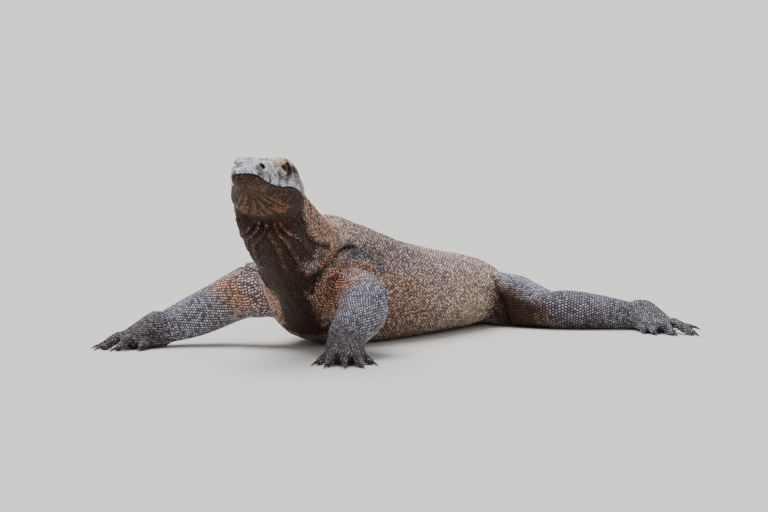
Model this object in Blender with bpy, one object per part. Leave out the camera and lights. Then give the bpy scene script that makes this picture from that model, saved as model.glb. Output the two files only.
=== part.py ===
"""Komodo dragon lying with its forebody raised: a still, life-size model.

Metres, +Z up. The animal faces -Y and its left side is +X. It rests on the plane Z = 0 on its belly,
tail, hands and feet. The shoulders are modelled over X = Y = 0, and at the end everything is moved so
that the origin is the middle of its footprint.

Neck, trunk and tail are one loft along a spine, parted by thin cuts, and so is each leg down to the
knuckles. Only the ends are other shapes: digits, claws and eyes.
"""

import math
from collections import namedtuple

import bmesh
import bpy
import numpy as np
from mathutils import Matrix, Vector

# ---- Driving dimensions ----
GAP = 0.0003  # left between pieces that touch
GROW = 0.0006  # added to a cutter, so that GAP is left on its slanting faces too
FLOOR = 0.0  # every underside is pressed flat at this level

HEAD_LENGTH = 0.200
HEAD_BASE = Vector((0.078, -0.222, 0.289))  # middle of the back of the skull
HEAD_YAW = 16.0  # degrees to its own left of straight ahead
HEAD_PITCH = 14.0  # degrees, nose up
EYE_RADIUS = 0.0085
EYE_AT = (0.100, 0.0368, 0.0270)  # ahead of the skull's back, out from its middle, up

SHOULDER_HALF = 0.080
SHOULDER_HEIGHT = 0.106
HIP_AT = 0.580  # behind the shoulders
HIP_HALF = 0.070
HIP_HEIGHT = 0.058

TAIL_START = 0.680  # behind the shoulders
TAIL_TURN = 0.225  # half the width of the bend that the tail lies in
TAIL_BACK = 0.160  # how far back that bend reaches
TAIL_RUN = 0.580  # straight length after the bend
TAIL_TIP = 0.004  # the dome that ends it

CLAW_HAND = 0.024
CLAW_FOOT = 0.024

SPINE_SIDES = 20
HEAD_SIDES = 26
LIMB_SIDES = 12
DIGIT_SIDES = 7
CLAW_SIDES = 5
CLAW_STEPS = 4
EYE_SIDES = 12
CLAW_ROOT = 0.005  # how deep a claw sits in its toe
LYING = 0.84  # share of a toe beyond which it lies on the floor
NEAR = 0.02  # ring numbers either way, for the direction of a sweep
HALF_CUT = 0.004  # ring numbers, a little over half of GAP

# A cross-section: its middle, half width, height above and depth below the middle, and how square its
# upper and lower halves are (2 is an ellipse).
Ring = namedtuple("Ring", "at wide over under top low", defaults=(2.2, 2.4))


# ---- Curves through hand-set values ----
def smooth(keys, values, at):
    """Values at each of `at`, on a curve with the slopes of its neighbours, without overshoot."""
    keys = np.asarray(keys, float)
    values = np.asarray(values, float).reshape(len(keys), -1)
    steps = np.diff(values, axis=0) / np.diff(keys)[:, None]
    before, after = steps[:-1], steps[1:]
    same = before * after > 0
    total = np.where(same, before + after, 1.0)
    middle = np.where(same, 2 * before * after / total, 0.0)
    slopes = np.vstack([steps[:1], middle, steps[-1:]])
    at = np.clip(np.atleast_1d(at), keys[0], keys[-1])
    i = np.clip(np.searchsorted(keys, at, side="right") - 1, 0, len(keys) - 2)
    span = (keys[i + 1] - keys[i])[:, None]
    t = (at[:, None] - keys[i, None]) / span
    rise = t * t * (3 - 2 * t)
    ease_out = t * (1 - t) ** 2 * span
    ease_in = t * t * (t - 1) * span
    return values[i] * (1 - rise) + values[i + 1] * rise + slopes[i] * ease_out + slopes[i + 1] * ease_in


def path(points, at):
    """Points on a Catmull-Rom curve through `points`, where `at` counts from 0 at the first."""
    points = np.asarray(points, float)
    ends = np.vstack([2 * points[0] - points[1], points, 2 * points[-1] - points[-2]])
    i = np.clip(np.floor(at).astype(int), 0, len(points) - 2)
    t = (at - i)[:, None]
    a, b, c, d = (ends[i + k] for k in range(4))
    return 0.5 * (2 * b + (c - a) * t + (2 * a - 5 * b + 4 * c - d) * t**2 + (3 * b - a - 3 * c + d) * t**3)


class Sweep:
    """A body swept through rings, from which stretches are made as solids."""

    def __init__(self, rings, sides, up=(0, 0, 1)):
        self.rings = rings
        self.sides = sides
        self.up = Vector(up)

    def section(self, where, grow=0.0):
        """Corners of the cross-section at ring number `where`, which may lie between two rings."""
        near = np.clip(np.array([where - NEAR, where, where + NEAR]), 0, len(self.rings) - 1)
        back, middle, ahead = path([ring.at for ring in self.rings], near)
        along = Vector(ahead - back).normalized()
        side = along.cross(self.up).normalized()
        over = side.cross(along)
        sizes = smooth(range(len(self.rings)), [ring[1:] for ring in self.rings], where)[0]
        wide, height, depth, top, low = sizes
        corners = []
        for k in range(self.sides):
            angle = math.pi * (2 * k + 1) / self.sides - math.pi / 2
            c, s = math.cos(angle), math.sin(angle)
            power = 2 / (top if s > 0 else low)
            out = math.copysign(abs(c) ** power, c) * (wide + grow)
            rise = math.copysign(abs(s) ** power, s) * ((height if s > 0 else depth) + grow)
            corner = Vector(middle) + side * out + over * rise
            corner.z = max(corner.z, FLOOR - 4 * grow)
            corners.append(corner)
        return corners

    def solid(self, name, start, end, steps, grow=0.0, dome=0, dome_rows=1):
        """The stretch from ring `start` to ring `end`, with flat ends, or its far end domed."""
        sections = [self.section(where, grow) for where in np.linspace(start, end, steps + 1)]
        return loft(name, sections, dome, dome_rows, grow)


# ---- Meshes and objects ----
def to_object(name, form, home):
    mesh = bpy.data.meshes.new(name)
    form.to_mesh(mesh)
    form.free()
    thing = bpy.data.objects.new(name, mesh)
    home.objects.link(thing)
    return thing


def loft(name, sections, dome=0, dome_rows=1, grow=0.0):
    """A closed solid through sections of equal corner counts; a dome of that length ends it. A grown
    one also starts a little further back."""
    form = bmesh.new()
    back = (sections[0][0] - sections[1][0]).normalized() * grow
    sections = [[corner + back for corner in sections[0]], *sections[1:]]
    if dome:
        last = sections[-1]
        middle = sum(last, Vector()) / len(last)
        ahead = (middle - sum(sections[-2], Vector()) / len(last)).normalized()
        for row in range(1, dome_rows + 1):
            angle = row * math.pi / 2 / (dome_rows + 0.8)
            push = ahead * (dome * math.sin(angle))
            shrunk = [middle + (corner - middle) * math.cos(angle) + push for corner in last]
            for corner in shrunk:
                corner.z = max(corner.z, FLOOR)
            sections.append(shrunk)
    rows = [[form.verts.new(corner) for corner in section] for section in sections]
    for row, following in zip(rows, rows[1:]):
        for k in range(len(row)):
            j = (k + 1) % len(row)
            form.faces.new((row[k], row[j], following[j]))
            form.faces.new((row[k], following[j], following[k]))
    form.faces.new(list(reversed(rows[0])))
    form.faces.new(rows[-1])
    bmesh.ops.recalc_face_normals(form, faces=form.faces)
    return to_object(name, form, PARTS)


def ball(name, centre, radius, home):
    form = bmesh.new()
    bmesh.ops.create_uvsphere(form, u_segments=EYE_SIDES, v_segments=EYE_SIDES // 2, radius=radius)
    bmesh.ops.translate(form, verts=form.verts, vec=centre)
    return to_object(name, form, home)


def slab(name, outline, half_width, place):
    """A prism of an outline (ahead, up) in the head's own frame, as wide as twice half_width."""
    form = bmesh.new()
    sides = [[form.verts.new(place @ Vector((out, -ahead, up))) for ahead, up in outline]
             for out in (-half_width, half_width)]
    for k in range(len(outline)):
        j = (k + 1) % len(outline)
        form.faces.new((sides[0][k], sides[0][j], sides[1][j], sides[1][k]))
    form.faces.new(list(reversed(sides[0])))
    form.faces.new(sides[1])
    bmesh.ops.recalc_face_normals(form, faces=form.faces)
    return to_object(name, form, CUTTERS)


def as_cutter(thing):
    for home in list(thing.users_collection):
        home.objects.unlink(thing)
    CUTTERS.objects.link(thing)
    thing.hide_render = True
    thing.display_type = "WIRE"


def combine(thing, other, operation):
    as_cutter(other)
    step = thing.modifiers.new(f"{operation.lower()} {other.name}", "BOOLEAN")
    step.operation = operation
    step.solver = "EXACT"
    step.object = other


def subtract(thing, other):
    combine(thing, other, "DIFFERENCE")


def join(thing, other):
    combine(thing, other, "UNION")


def keep_inside(thing, other):
    combine(thing, other, "INTERSECT")


# ---- Materials ----
# Colour (linear red, green, blue) and roughness of each kind of part.
FINISHES = {
    "head": ((0.33, 0.32, 0.34), 0.55),
    "lower_jaw": ((0.09, 0.07, 0.05), 0.60),
    "neck": ((0.20, 0.13, 0.08), 0.65),
    "chest": ((0.22, 0.15, 0.11), 0.65),
    "belly": ((0.30, 0.21, 0.17), 0.65),
    "pelvis": ((0.36, 0.26, 0.23), 0.65),
    "tail": ((0.11, 0.10, 0.10), 0.65),
    "upper_arm": ((0.20, 0.15, 0.13), 0.60),
    "forearm": ((0.13, 0.13, 0.15), 0.60),
    "thigh": ((0.13, 0.12, 0.13), 0.60),
    "shank": ((0.09, 0.09, 0.11), 0.60),
    "hand": ((0.08, 0.08, 0.10), 0.60),
    "foot": ((0.09, 0.10, 0.13), 0.60),
    "claw": ((0.012, 0.011, 0.010), 0.30),
    "eye": ((0.030, 0.018, 0.010), 0.06),
}


def finish_of(name):
    if "claw" in name:
        return FINISHES["claw"]
    return next(finish for kind, finish in FINISHES.items() if name.startswith(kind))


def paint(thing):
    colour, roughness = finish_of(thing.name)
    skin = bpy.data.materials.new(thing.name)
    skin.use_nodes = True
    shader = skin.node_tree.nodes["Principled BSDF"]
    shader.inputs["Base Color"].default_value = (*colour, 1)
    shader.inputs["Roughness"].default_value = roughness
    shader.inputs["Metallic"].default_value = 0
    thing.data.materials.append(skin)
    thing.data.shade_smooth()


# ---- Neck, trunk and tail ----
def spine_rings():
    """From inside the skull back to the vent."""
    return [
        Ring((0.077, -0.243, 0.292), 0.056, 0.040, 0.058),
        Ring((0.065, -0.212, 0.274), 0.063, 0.048, 0.077),
        Ring((0.056, -0.172, 0.244), 0.063, 0.057, 0.083, 2.3, 2.0),
        Ring((0.049, -0.126, 0.210), 0.062, 0.070, 0.085, 2.5, 2.0),
        Ring((0.036, -0.070, 0.174), 0.069, 0.081, 0.090, 2.5, 2.0),
        Ring((0.015, -0.004, 0.146), 0.085, 0.097, 0.104, 2.2, 2.0),
        Ring((0.002, 0.070, 0.124), 0.100, 0.115, 0.114, 2.1, 2.4),
        Ring((0.000, 0.160, 0.104), 0.116, 0.112, 0.108, 2.1, 2.8),
        Ring((0.000, 0.260, 0.090), 0.130, 0.097, 0.094, 2.1, 3.0),
        Ring((0.000, 0.360, 0.081), 0.136, 0.085, 0.085, 2.1, 3.0),
        Ring((0.000, 0.460, 0.071), 0.134, 0.078, 0.075, 2.1, 3.0),
        Ring((0.000, 0.550, 0.062), 0.120, 0.074, 0.066, 2.1, 2.8),
        Ring((0.000, 0.630, 0.054), 0.100, 0.063, 0.057),
        Ring((0.000, TAIL_START, 0.046), 0.070, 0.048, 0.049),
    ]


def tail_rings():
    """Round half an ellipse to the animal's right, then forward beside the trunk, down to the tip."""
    rings = []
    bends = 8
    turn_length = math.pi * TAIL_TURN
    whole = turn_length + TAIL_RUN
    runs = [k * turn_length / bends for k in range(bends + 1)]
    runs += [turn_length + TAIL_RUN * k / 5 for k in range(1, 6)]
    for run in runs:
        angle = min(run / TAIL_TURN, math.pi)
        straight = max(run - turn_length, 0)
        x = TAIL_TURN * (math.cos(angle) - 1) + 0.10 * (straight / TAIL_RUN) ** 2 * TAIL_RUN
        y = TAIL_START + TAIL_BACK * math.sin(angle) - straight
        share = run / whole
        wide = 0.064 * (1 - share) ** 0.9 + 0.0035
        tall = 0.084 * (1 - share) ** 0.70 + 0.007
        rings.append(Ring((x, y, 0.46 * tall), wide, 0.54 * tall, 0.47 * tall, 2.0 - 0.25 * share, 2.3))
    return rings


# The lengths that the spine's loft is parted into: name, first and last ring, rows of faces.
LENGTHS = (
    ("neck_upper", 0.6, 3.0, 5),
    ("neck_lower", 3.0, 4.7, 3),
    ("chest", 4.7, 7.0, 5),
    ("belly", 7.0, 10.3, 6),
    ("pelvis", 10.3, 13.0, 5),
    ("tail_1", 13.0, 14.5, 2),
    ("tail_2", 14.5, 16.0, 2),
    ("tail_3", 16.0, 17.5, 2),
    ("tail_4", 17.5, 19.0, 2),
    ("tail_5", 19.0, 20.5, 2),
    ("tail_6", 20.5, 22.0, 2),
    ("tail_7", 22.0, 26.0, 5),
)


def axial_parts():
    """The lengths of neck, trunk and tail, and the room that they take out of the limbs."""
    sweep = Sweep(spine_rings() + tail_rings()[1:], SPINE_SIDES)
    parts = {}
    for name, start, end, steps in LENGTHS:
        tip = TAIL_TIP if name == LENGTHS[-1][0] else 0
        parts[name] = sweep.solid(name, start + HALF_CUT, end - HALF_CUT, steps, dome=tip)
    places = [np.linspace(start, end, steps + 1) for _, start, end, steps in LENGTHS[1:6]]
    places = sorted(set(np.concatenate(places)))
    room = loft("trunk_room", [sweep.section(place, GROW) for place in places], grow=GROW)
    return parts, room


# ---- Head ----
def head_frame():
    turn = Matrix.Rotation(math.radians(HEAD_YAW), 4, "Z")
    nod = Matrix.Rotation(math.radians(-HEAD_PITCH), 4, "X")
    return Matrix.Translation(HEAD_BASE) @ turn @ nod


# Cross-sections of the head, from inside the neck to the tip of the snout: share of the length, half
# width, crown above and throat below the level of the mouth, squareness above and below.
HEAD_SECTIONS = (
    (-0.12, 0.036, 0.024, 0.030, 2.2, 2.2),
    (0.04, 0.053, 0.038, 0.044, 2.3, 2.3),
    (0.20, 0.0605, 0.043, 0.048, 2.4, 2.5),
    (0.34, 0.0575, 0.048, 0.045, 3.6, 2.6),
    (0.48, 0.0485, 0.050, 0.038, 5.0, 2.6),
    (0.60, 0.0405, 0.040, 0.031, 3.4, 2.6),
    (0.72, 0.0350, 0.033, 0.025, 2.6, 2.6),
    (0.84, 0.0315, 0.029, 0.021, 2.5, 2.6),
    (0.93, 0.0270, 0.025, 0.017, 2.4, 2.5),
)
# The line of the closed mouth, seen from the side: share of the length, height.
MOUTH_LINE = (
    (0.26, -0.006),
    (0.36, -0.001),
    (0.43, -0.001),
    (0.55, -0.006),
    (0.66, -0.008),
    (0.81, -0.009),
    (0.93, -0.006),
    (0.99, -0.001),
    (1.05, -0.001),
)
JAW_BACK = ((0.16, -0.080), (0.20, -0.036), (0.24, -0.012))


def head_sections(frame, grow=0.0):
    keys = [row[0] for row in HEAD_SECTIONS]
    places = np.linspace(keys[0], keys[-1], 14)
    sections = []
    for share, sizes in zip(places, smooth(keys, [row[1:] for row in HEAD_SECTIONS], places)):
        wide, over, under, top, low = sizes
        section = []
        for k in range(HEAD_SIDES):
            angle = math.pi * (2 * k + 1) / HEAD_SIDES
            c, s = math.cos(angle), math.sin(angle)
            power = 2 / (top if s > 0 else low)
            out = math.copysign(abs(c) ** power, c) * (wide + grow)
            rise = math.copysign(abs(s) ** power, s) * ((over if s > 0 else under) + grow)
            section.append(frame @ Vector((-out, -share * HEAD_LENGTH, rise)))
        sections.append(section)
    return sections


def jaw_outline(inset):
    """The lower jaw's room in side view: under the mouth line, ahead of the jaw's hinge."""
    line = [(share * HEAD_LENGTH, height - inset) for share, height in MOUTH_LINE]
    back = [(share * HEAD_LENGTH + inset, height) for share, height in JAW_BACK]
    return back + line + [(1.05 * HEAD_LENGTH, -0.080)]


def head_parts(neck):
    frame = head_frame()
    tip = 0.07 * HEAD_LENGTH
    parts = {name: loft(name, head_sections(frame), tip, 3) for name in ("head", "lower_jaw")}
    subtract(parts["head"], slab("jaw_room", jaw_outline(0), 0.09, frame))
    keep_inside(parts["lower_jaw"], slab("jaw_shape", jaw_outline(2 * GAP), 0.09, frame))
    subtract(neck, loft("head_room", head_sections(frame, GROW), tip, 3, GROW))
    ahead, out, up = EYE_AT
    for side, sign in (("left", 1), ("right", -1)):
        centre = frame @ Vector((sign * out, -ahead, up))
        subtract(parts["head"], ball(f"socket_{side}", centre, EYE_RADIUS + GROW, CUTTERS))
        parts[f"eye_{side}"] = ball(f"eye_{side}", centre, EYE_RADIUS, PARTS)
    return parts


# ---- Digits and claws ----
def digit_rings(base, heading, length, radius, arch):
    """A toe from its knuckle to the root of its claw: swollen at the joints, it arches and lies down."""
    joints = (1.10, 0.96, 1.08, 0.90, 1.00, 0.86, 0.72)
    rings = []
    for k, swell in enumerate(joints):
        share = k / (len(joints) - 1)
        size = radius * swell * (1 - 0.18 * share)
        middle = base + heading * (length * share)
        lift = math.sin(math.pi * min(share / LYING, 1)) ** 2
        middle.z = size * 0.90 + radius * 0.7 * (1 - share) ** 2 + arch * lift
        rings.append(Ring(tuple(middle), size, size, size * 1.05, 2.1, 2.2))
    return rings


def claw(name, root, heading, length, radius, grow=0.0):
    """A horn claw: deeper than it is wide, curved down to a point that just touches the floor."""
    side = heading.cross(Vector((0, 0, 1))).normalized()
    reach = math.radians(66)
    rise = math.radians(14)
    bend = length / reach
    sections = []
    for k in range(CLAW_STEPS + 1):
        share = k / CLAW_STEPS
        turn = reach * share - rise
        forward = bend * (math.sin(turn) + math.sin(rise)) - (grow if k == 0 else 0)
        drop = bend * (math.cos(rise) - math.cos(turn))
        along = heading * math.cos(turn) - Vector((0, 0, math.sin(turn)))
        over = side.cross(along)
        wide = radius * (0.56 * (1 - share) + 0.05) + grow
        tall = radius * (0.78 * (1 - share) ** 0.85 + 0.07) + grow
        middle = root + heading * forward - Vector((0, 0, drop))
        section = []
        for j in range(CLAW_SIDES):
            angle = 2 * math.pi * j / CLAW_SIDES
            corner = middle + side * (wide * math.cos(angle)) + over * (tall * math.sin(angle))
            corner.z = max(corner.z, FLOOR - 4 * grow)
            section.append(corner)
        sections.append(section)
    return loft(name, sections)


# ---- Legs ----
# A digit: its knuckle ahead of the wrist and out towards the fifth digit, its turn from the foot's own
# heading towards the fifth digit, its length, radius and arch.
Digit = namedtuple("Digit", "ahead out turn length radius arch")
HAND_DIGITS = (
    Digit(0.030, -0.018, -44, 0.044, 0.0092, 0.006),
    Digit(0.054, -0.017, -18, 0.050, 0.0095, 0.010),
    Digit(0.060, -0.002, 0, 0.056, 0.0097, 0.011),
    Digit(0.056, 0.014, 15, 0.052, 0.0095, 0.010),
    Digit(0.030, 0.018, 42, 0.042, 0.0090, 0.005),
)
FOOT_DIGITS = (
    Digit(0.050, -0.020, -22, 0.040, 0.0098, 0.007),
    Digit(0.066, -0.016, -12, 0.052, 0.0100, 0.009),
    Digit(0.074, -0.002, 2, 0.068, 0.0100, 0.010),
    Digit(0.072, 0.014, 14, 0.086, 0.0098, 0.009),
    Digit(0.018, 0.012, 66, 0.078, 0.0094, 0.004),
)
# From the heel to the knuckles: share of the palm's length, of its half width, of its half thickness.
PALM_SHAPE = ((-0.34, 0.60, 0.80), (0.0, 0.86, 1.0), (0.45, 0.98, 0.78), (1.0, 1.04, 0.50))
# A leg: the names of its three lengths, rings from inside the trunk to the ankle, where the ankle or
# wrist stands, where the foot heads, +1 on the left or -1 on the right, the palm's length, half width
# and half thickness, its digits and the length of a claw.
Leg = namedtuple("Leg", "names rings ankle heading side palm digits claw_length")
KNEE = 3.2  # ring number of the elbow or knee


def flat_heading(degrees):
    """The level direction that lies `degrees` to the left of straight ahead."""
    angle = math.radians(degrees)
    return Vector((math.sin(angle), -math.cos(angle), 0))


def palm(foot, ankle, heading, length, wide, thick, grow=0.0):
    """The flat of a hand or foot, from its heel to its knuckles, sloping down to the floor."""
    ahead = flat_heading(heading)
    rings = []
    for share, spread, height in PALM_SHAPE:
        middle = Vector(ankle) + ahead * (length * share)
        middle.z = thick * height * 0.98
        rings.append(Ring(tuple(middle), wide * spread, thick * height, thick * height * 1.02, 2.1, 2.6))
    return Sweep(rings, LIMB_SIDES).solid(foot, 0, 3, 5, grow=grow, dome=0.008)


def front_left():
    """Set down ahead of the shoulder, elbow out, the hand turned to its left."""
    rings = [
        Ring((0.036, 0.008, 0.110), 0.050, 0.046, 0.054),
        Ring((SHOULDER_HALF, 0.002, SHOULDER_HEIGHT), 0.050, 0.046, 0.054),
        Ring((0.118, -0.008, 0.102), 0.045, 0.044, 0.050),
        Ring((0.148, -0.030, 0.096), 0.043, 0.041, 0.046),
        Ring((0.163, -0.066, 0.080), 0.042, 0.040, 0.044),
        Ring((0.167, -0.106, 0.058), 0.035, 0.034, 0.036),
        Ring((0.168, -0.142, 0.040), 0.029, 0.028, 0.030),
    ]
    names = ("upper_arm_left", "forearm_left", "hand_left")
    return Leg(names, rings, (0.168, -0.136, 0), 30, 1, (0.060, 0.034, 0.036), HAND_DIGITS, CLAW_HAND)


def front_right():
    """Set down out to the side, elbow bent, the hand turned out."""
    rings = [
        Ring((-0.036, 0.008, 0.110), 0.050, 0.046, 0.054),
        Ring((-SHOULDER_HALF, 0.002, SHOULDER_HEIGHT), 0.050, 0.046, 0.054),
        Ring((-0.120, 0.002, 0.096), 0.044, 0.044, 0.048),
        Ring((-0.156, -0.008, 0.078), 0.041, 0.040, 0.044),
        Ring((-0.188, -0.030, 0.060), 0.040, 0.037, 0.041),
        Ring((-0.218, -0.058, 0.044), 0.034, 0.032, 0.035),
        Ring((-0.238, -0.084, 0.034), 0.028, 0.026, 0.028),
    ]
    names = ("upper_arm_right", "forearm_right", "hand_right")
    return Leg(names, rings, (-0.240, -0.086, 0), -32, -1, (0.060, 0.033, 0.034), HAND_DIGITS, CLAW_HAND)


def hind_left():
    """Stretched out sideways and back, almost straight, the foot turned out."""
    rings = [
        Ring((0.020, 0.590, 0.056), 0.054, 0.044, 0.056),
        Ring((HIP_HALF, HIP_AT, HIP_HEIGHT), 0.056, 0.044, 0.058),
        Ring((0.156, 0.560, 0.051), 0.053, 0.044, 0.053),
        Ring((0.212, 0.553, 0.041), 0.045, 0.029, 0.043),
        Ring((0.262, 0.560, 0.040), 0.043, 0.033, 0.042),
        Ring((0.328, 0.592, 0.035), 0.036, 0.026, 0.036),
        Ring((0.384, 0.620, 0.025), 0.028, 0.020, 0.026),
    ]
    names = ("thigh_left", "shank_left", "foot_left")
    return Leg(names, rings, (0.382, 0.622, 0), 50, 1, (0.078, 0.034, 0.029), FOOT_DIGITS, CLAW_FOOT)


def hind_right():
    """Folded as a resting lizard's: knee out and forward, the ankle back under it, the foot out."""
    rings = [
        Ring((-0.020, 0.590, 0.056), 0.054, 0.044, 0.056),
        Ring((-HIP_HALF, HIP_AT, HIP_HEIGHT), 0.056, 0.044, 0.058),
        Ring((-0.140, 0.526, 0.066), 0.052, 0.044, 0.056),
        Ring((-0.202, 0.484, 0.070), 0.043, 0.040, 0.050),
        Ring((-0.252, 0.500, 0.060), 0.041, 0.038, 0.046),
        Ring((-0.264, 0.554, 0.047), 0.034, 0.032, 0.038),
        Ring((-0.254, 0.606, 0.037), 0.029, 0.026, 0.030),
    ]
    names = ("thigh_right", "shank_right", "foot_right")
    return Leg(names, rings, (-0.252, 0.608, 0), -66, -1, (0.078, 0.033, 0.029), FOOT_DIGITS, CLAW_FOOT)


def leg_parts(leg, trunk_room):
    """Upper and lower leg, parted at the elbow or knee, and a foot with its digits and claws."""
    upper, lower, foot = leg.names
    sweep = Sweep(leg.rings, LIMB_SIDES)
    parts = {
        upper: sweep.solid(upper, 0, KNEE - HALF_CUT, 5),
        lower: sweep.solid(lower, KNEE + HALF_CUT, len(leg.rings) - 1, 5),
        foot: palm(foot, leg.ankle, leg.heading, *leg.palm),
    }
    subtract(parts[upper], trunk_room)
    subtract(parts[lower], palm(f"{foot}_room", leg.ankle, leg.heading, *leg.palm, grow=GROW))
    ahead = flat_heading(leg.heading)
    out = flat_heading(leg.heading + 90 * leg.side)
    for number, toe in enumerate(leg.digits, 1):
        base = Vector(leg.ankle) + ahead * toe.ahead + out * toe.out
        heading = flat_heading(leg.heading + toe.turn * leg.side)
        rings = digit_rings(base, heading, toe.length, toe.radius, toe.arch)
        label = f"{foot}_digit_{number}"
        join(parts[foot], Sweep(rings, DIGIT_SIDES).solid(label, 0, len(rings) - 1, 6, dome=0.003))
        root = Vector(rings[-1].at) - heading * CLAW_ROOT
        name = f"{foot}_claw_{number}"
        shape = (root, heading, leg.claw_length, rings[-1].wide)
        parts[name] = claw(name, *shape)
        subtract(parts[foot], claw(f"{name}_room", *shape, grow=GROW))
    return parts


def centre_on_origin(parts):
    """Parents every object to an empty that brings the middle of the footprint to the origin."""
    corners = np.array([vertex.co for thing in parts.values() for vertex in thing.data.vertices])
    middle = (corners.min(axis=0) + corners.max(axis=0)) / 2
    stand = bpy.data.objects.new("middle_of_footprint", None)
    bpy.context.scene.collection.objects.link(stand)
    stand.location = (-middle[0], -middle[1], 0)
    for thing in [*PARTS.objects, *CUTTERS.objects]:
        thing.parent = stand


def main():
    parts, trunk_room = axial_parts()
    parts.update(head_parts(parts["neck_upper"]))
    for leg in (front_left(), front_right(), hind_left(), hind_right()):
        parts.update(leg_parts(leg, trunk_room))
    for thing in parts.values():
        paint(thing)
    centre_on_origin(parts)


for thing in list(bpy.data.objects):
    bpy.data.objects.remove(thing)
PARTS = bpy.data.collections.new("komodo_dragon")
CUTTERS = bpy.data.collections.new("cutters")
for home in (PARTS, CUTTERS):
    bpy.context.scene.collection.children.link(home)
main()
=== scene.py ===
# %% [markdown]
# # A Komodo dragon's skin, scales, eyes and claws
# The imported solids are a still, life-size model in 48 parts. This lesson draws one skin over the parts of
# flesh, folds and creases it, covers it with scales in the rows that a monitor lizard has, and finishes
# the eyes and claws. Metres, +Z up. The animal faces -Y and its left side is +X.

import math
from collections import namedtuple
from itertools import product

import bmesh
import bpy
import numpy as np
from mathutils import Matrix, Vector, noise
from mathutils.bvhtree import BVHTree
from mathutils.kdtree import KDTree


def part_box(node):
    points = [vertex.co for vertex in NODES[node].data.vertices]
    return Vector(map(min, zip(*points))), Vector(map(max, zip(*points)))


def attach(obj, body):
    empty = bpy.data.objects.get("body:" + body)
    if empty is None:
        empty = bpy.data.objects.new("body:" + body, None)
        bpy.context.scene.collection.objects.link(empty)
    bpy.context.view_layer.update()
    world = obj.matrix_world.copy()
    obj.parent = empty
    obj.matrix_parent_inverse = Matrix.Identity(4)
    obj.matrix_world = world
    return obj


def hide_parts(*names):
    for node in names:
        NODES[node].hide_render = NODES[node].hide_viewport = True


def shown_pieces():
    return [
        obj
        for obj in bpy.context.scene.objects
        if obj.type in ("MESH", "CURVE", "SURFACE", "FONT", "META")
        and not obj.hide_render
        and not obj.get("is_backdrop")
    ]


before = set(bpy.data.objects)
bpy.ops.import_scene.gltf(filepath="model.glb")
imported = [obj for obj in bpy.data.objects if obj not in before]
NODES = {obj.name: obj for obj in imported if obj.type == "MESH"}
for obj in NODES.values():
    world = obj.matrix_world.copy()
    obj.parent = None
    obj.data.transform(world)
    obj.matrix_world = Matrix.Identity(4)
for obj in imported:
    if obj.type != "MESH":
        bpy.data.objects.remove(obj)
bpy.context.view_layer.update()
EYES = sorted(name for name in NODES if name.startswith("eye"))
CLAWS = sorted(name for name in NODES if "claw" in name)
FLESH = sorted(set(NODES) - set(EYES) - set(CLAWS))

# %% [markdown]
# ## Where things are on the body
# Folds, markings and rows of scales follow the body, so they are placed by anatomy: how far along a
# centre line, and at which angle round it. The lines run down the spine and the tail, down each leg, and
# through each palm and digit. They are counted from the shoulders, which are found from the two eyes.

# %% Places to count from
HEAD_LENGTH = 0.200
HEAD_BASE = Vector((0.078, -0.222, 0.289))  # back of the skull, from the shoulders
HEAD_TURN = Matrix.Rotation(math.radians(16), 4, "Z") @ Matrix.Rotation(math.radians(-14), 4, "X")
EYES_IN_HEAD = Vector((0, -0.100, 0.027))  # midway between them, from the back of the skull
EYE_CENTRES = {name: sum(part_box(name), Vector()) / 2 for name in EYES}
EYE_RADIUS = (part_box(EYES[0])[1].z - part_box(EYES[0])[0].z) / 2
between_eyes = sum(EYE_CENTRES.values(), Vector()) / 2
SHOULDERS = between_eyes - HEAD_TURN @ EYES_IN_HEAD - HEAD_BASE
SHOULDERS.z = 0
HEAD_PLACE = Matrix.Translation(SHOULDERS + HEAD_BASE) @ HEAD_TURN
TAIL_START = 0.680  # behind the shoulders
TAIL_TURN = 0.225  # the half turn's radius across
TAIL_BACK = 0.160  # and back
TAIL_RUN = 0.580  # forward again, beside the hip


def head_way(*direction):
    """A direction of the head's own frame, turned as the head is."""
    return HEAD_TURN.to_3x3() @ Vector(direction)


print("shoulders at", [round(v, 4) for v in SHOULDERS])


# %% Centre lines
class Line:
    """A centre line through points: where it is, and which way is along, left and up, at any place."""

    def __init__(self, points, reach, names, up=(0, 0, 1)):
        self.points = np.array([Vector(p) + SHOULDERS for p in points])
        self.reach = reach
        self.names = names
        self.up = Vector(up)
        self.last = len(points) - 1

    def at(self, place):
        """The spot at a place, on a smooth curve through the points."""
        p = self.points
        ends = np.vstack([2 * p[0] - p[1], p, 2 * p[-1] - p[-2]])
        i = int(min(max(place, 0), self.last - 1e-6))
        t = place - i
        a, b, c, d = ends[i:i + 4]
        bend = (2 * a - 5 * b + 4 * c - d) * t**2 + (3 * b - a - 3 * c + d) * t**3
        return Vector(0.5 * (2 * b + (c - a) * t + bend))

    def axes(self, place):
        """The ways along, left and up."""
        before, after = max(place - 0.02, 0), min(place + 0.02, self.last)
        along = (self.at(after) - self.at(before)).normalized()
        left = along.cross(self.up).normalized()
        return along, left, left.cross(along)


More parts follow.
